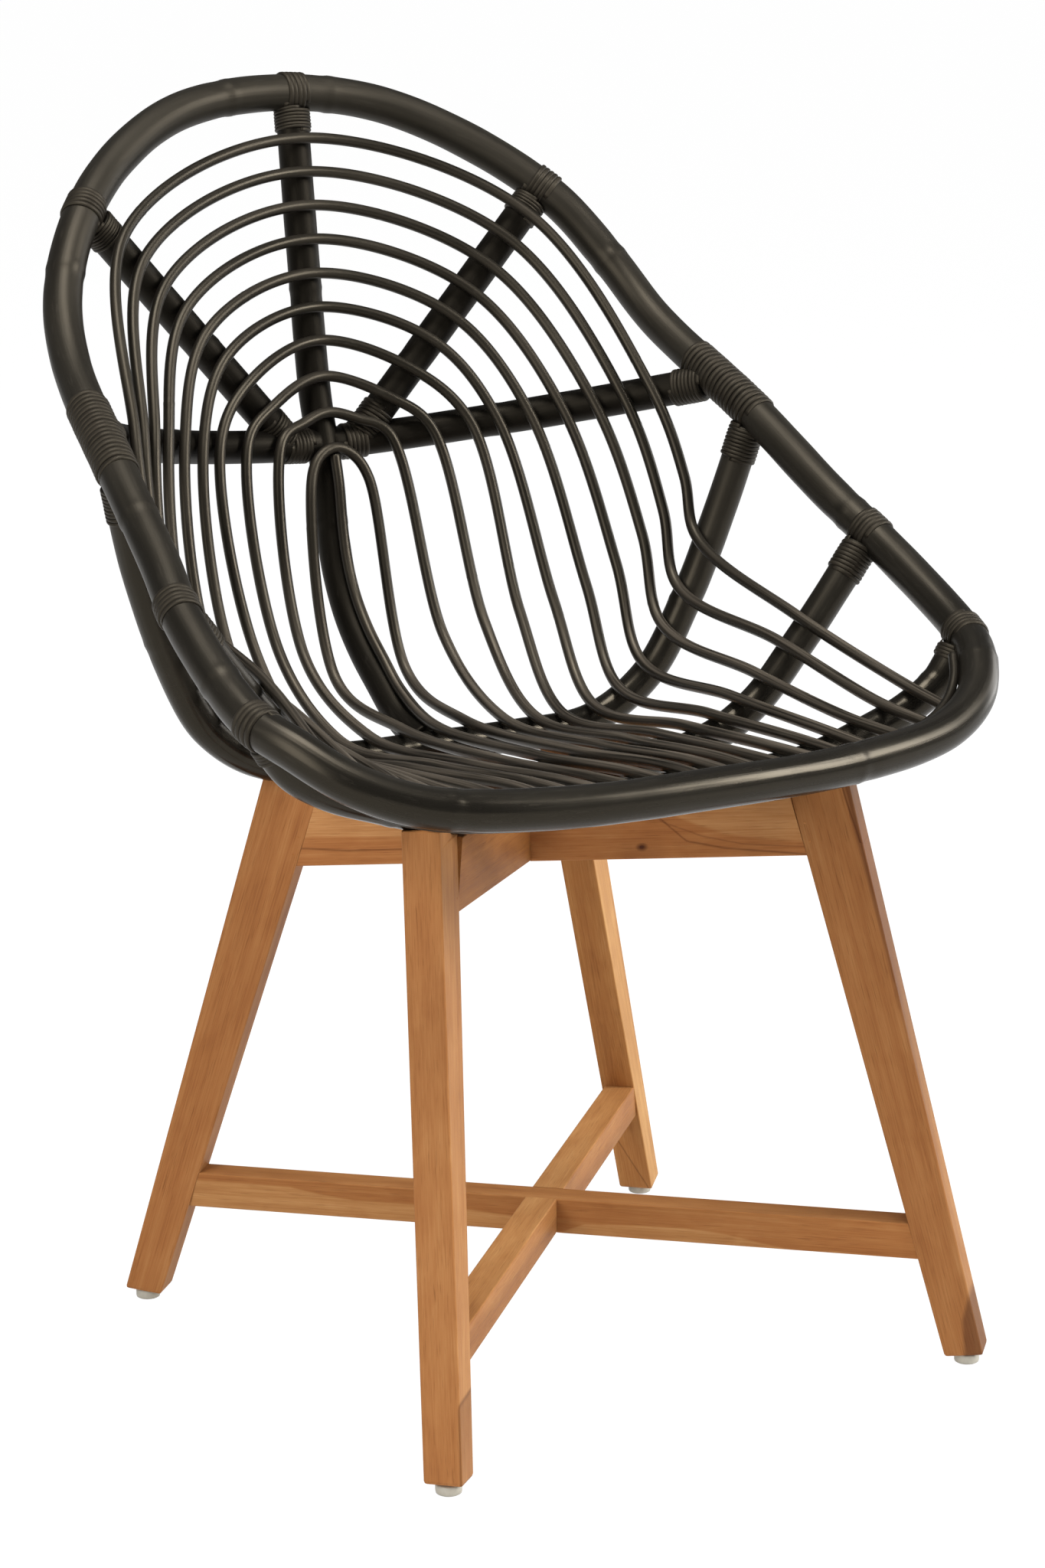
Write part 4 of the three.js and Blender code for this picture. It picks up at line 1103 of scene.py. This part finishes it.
TIMBERS = {"top_rail": (rails, RAIL_WIDTH, RAIL_HEIGHT, 221),
           "stretcher": (stretchers, STRETCHER_WIDTH, STRETCHER_HEIGHT, 223)}
for number, (name, leg) in enumerate(legs.items()):
    add_teak(leg_piece("teak_leg_" + name, leg, 201 + number), "leg_" + name)
for kind, (ends, width, height, seed) in TIMBERS.items():
    for order, (label, front_name) in enumerate(FRONT_LEGS.items()):
        node = "%s_%s" % (kind, label)
        add_teak(timber_piece("teak_" + node, ends[label], front_name, width, height,
                              label == "over", seed + order), node)


# Glides, pins and screws: radii at distances along the axis
def lathe(name, centre, axis, profile, around, seed):
    """A turned piece: radii at distances along an axis, carried round it."""
    random = np.random.default_rng(seed)
    radii, runs = np.array(profile, float).T[..., None]
    axis = unit(axis)
    side = unit(np.cross(axis, (0.3, 0.5, 0.81)))
    angle = np.linspace(0, TURN, around, endpoint=False)
    ring = turned(side, np.cross(axis, side), angle)
    points = centre + axis * runs[..., None] + ring * radii[..., None]
    grain = loose_grain(random, radii * np.cos(angle), radii * np.sin(angle), runs)
    return add_mesh(name, points, grid_faces(len(radii), around), grain)


GLIDE_PROFILE = [(0.4, 0.35), (4, 0.3), (6.8, 0.1), (7.8, 0), (8.6, 0.5), (8.9, 1.4), (9, 3),
                 (9, 5.8), (8.8, 6.6), (8.3, 7), (1.2, 7.05), (1.2, 17), (0.3, 19)]
PIN_END = [(PIN_RADIUS, -0.3), (PIN_RADIUS * 0.92, 0), (0.7, 0.08), (0.2, 0.1)]
PIN_PROFILE = ([(radius, -LEG_THICKNESS / 2 - run) for radius, run in PIN_END[::-1]]
               + [(radius, LEG_THICKNESS / 2 + run) for radius, run in PIN_END])
for number, (name, leg) in enumerate(legs.items()):
    piece = lathe("glide_%s_disc" % name, leg.foot * LEVEL, UP, GLIDE_PROFILE, 32, 241 + number)
    place_piece(piece, glide_look, "glide", "floor_glide_" + name)
    label = "over" if name in ("front_right", "rear_left") else "under"
    on_leg = rails[label][0 if name.startswith("front") else 1]
    for order, (label, share) in enumerate((("upper", 0.5), ("lower", -0.5))):
        middle = leg.at(on_leg[2] - PIN_DROP + share * PIN_SPREAD) + leg.inward * PIN_INSET
        piece = lathe("pin_%s_%s" % (name, label), middle, leg.sideways, PIN_PROFILE, 20,
                      251 + 2 * number + order)
        place_piece(piece, teak_look, "teak", "rail_pin_%s_%s" % (name, label))
    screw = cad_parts["rib_screw_" + name]
    screw.data.materials.clear()
    screw.data.materials.append(steel_look)


# Stage
WHITE = (1, 1, 1, 1)
FLOOR_REACH = 40
FLOOR_COLOUR = (0.8, 0.8, 0.8, 1)
FLOOR_WHITE = 1.09
FLOOR_SHARE = 0.9
STUDIO_LEVEL = 0.15


def stage_floor():
    """A large pale floor that shows white to the camera and keeps part of the shadow."""
    mesh = bpy.data.meshes.new("floor")
    corners = [(FLOOR_REACH * x, FLOOR_REACH * y, 0) for x, y in ((-1, -1), (1, -1), (1, 1), (-1, 1))]
    mesh.from_pydata(corners, [], [(0, 1, 2, 3)])
    finish = new_finish("floor_paint")
    camera_ray, glossy_ray, transmission_ray = [
        finish.node("LightPath", output="Is %s Ray" % kind)
        for kind in ("Camera", "Glossy", "Transmission")]
    seen = camera_ray.math("MAXIMUM", glossy_ray).math("MAXIMUM", transmission_ray)
    matt = finish.node("BsdfDiffuse", {"Color": FLOOR_COLOUR})
    white = finish.node("Emission", {"Color": WHITE, "Strength": FLOOR_WHITE})
    shown = finish.node("MixShader", {0: seen * FLOOR_SHARE, 1: matt, 2: white})
    finish.node("OutputMaterial", {"Surface": shown})
    mesh.materials.append(finish.owner)
    add_object("floor", mesh)


def stage_world():
    """A soft even light from all round, which the camera sees as white."""
    finish = Finish(bpy.data.worlds.new("studio"))
    soft = finish.node("Background", {"Color": WHITE, "Strength": STUDIO_LEVEL})
    white = finish.node("Background", {"Color": WHITE, "Strength": 1.0})
    seen = finish.node("LightPath", output="Is Camera Ray")
    shown = finish.node("MixShader", {0: seen, 1: soft, 2: white})
    finish.node("OutputWorld", {"Surface": shown})
    bpy.context.scene.world = finish.owner


def stand(name, data, place, right, upward, back):
    """Stands a lamp or a camera at a place, turned by its three directions."""
    turn = np.eye(4)
    turn[:3] = np.stack([right, upward, back, place], -1)
    made = add_object(name, data)
    made.matrix_world = Matrix(turn.tolist())
    return made


def softbox(name, place, width, height, power):
    """A rectangular lamp at a place, turned towards the middle of the chair."""
    lamp = bpy.data.lights.new(name, "AREA")
    lamp.shape = "RECTANGLE"
    lamp.size = width
    lamp.size_y = height
    lamp.energy = power
    back = unit(np.array(place) - LIT_PLACE)
    right = unit(np.cross(UP, back))
    stand(name, lamp, place, right, np.cross(back, right), back)


stage_floor()
stage_world()
LIT_PLACE = np.array([0, 0, 0.5])
softbox("key", (-3.0, -1.1, 1.9), 1.7, 2.3, 72)
softbox("fill", (2.3, -2.1, 2.3), 1.4, 1.6, 135)
softbox("top", (-0.3, -0.4, 3.4), 1.4, 1.4, 85)
softbox("side", (3.2, 0.2, 1.0), 1.2, 1.8, 28)

lens = bpy.data.cameras.new("photo_camera")
lens.sensor_fit = "VERTICAL"
lens.sensor_height = SENSOR_HEIGHT
lens.lens = FOCAL_PIXELS / PHOTO_HEIGHT * SENSOR_HEIGHT
lens.shift_x = (PHOTO_WIDTH / 2 - PRINCIPAL_POINT[0]) / PHOTO_HEIGHT
lens.shift_y = (PRINCIPAL_POINT[1] - PHOTO_HEIGHT / 2) / PHOTO_HEIGHT
lens.clip_end = 200
back = np.array([math.sin(CAMERA_YAW) * math.cos(CAMERA_PITCH),
                 -math.cos(CAMERA_YAW) * math.cos(CAMERA_PITCH), math.sin(CAMERA_PITCH)])
flat = np.array([math.cos(CAMERA_YAW), math.sin(CAMERA_YAW), 0.0])
steep = np.cross(back, flat)
right = math.cos(CAMERA_ROLL) * flat + math.sin(CAMERA_ROLL) * steep
upward = -math.sin(CAMERA_ROLL) * flat + math.cos(CAMERA_ROLL) * steep
bpy.context.scene.camera = stand("photo_camera", lens, CAMERA_PLACE, right, upward, back)

bpy.context.scene.view_settings.view_transform = "Standard"
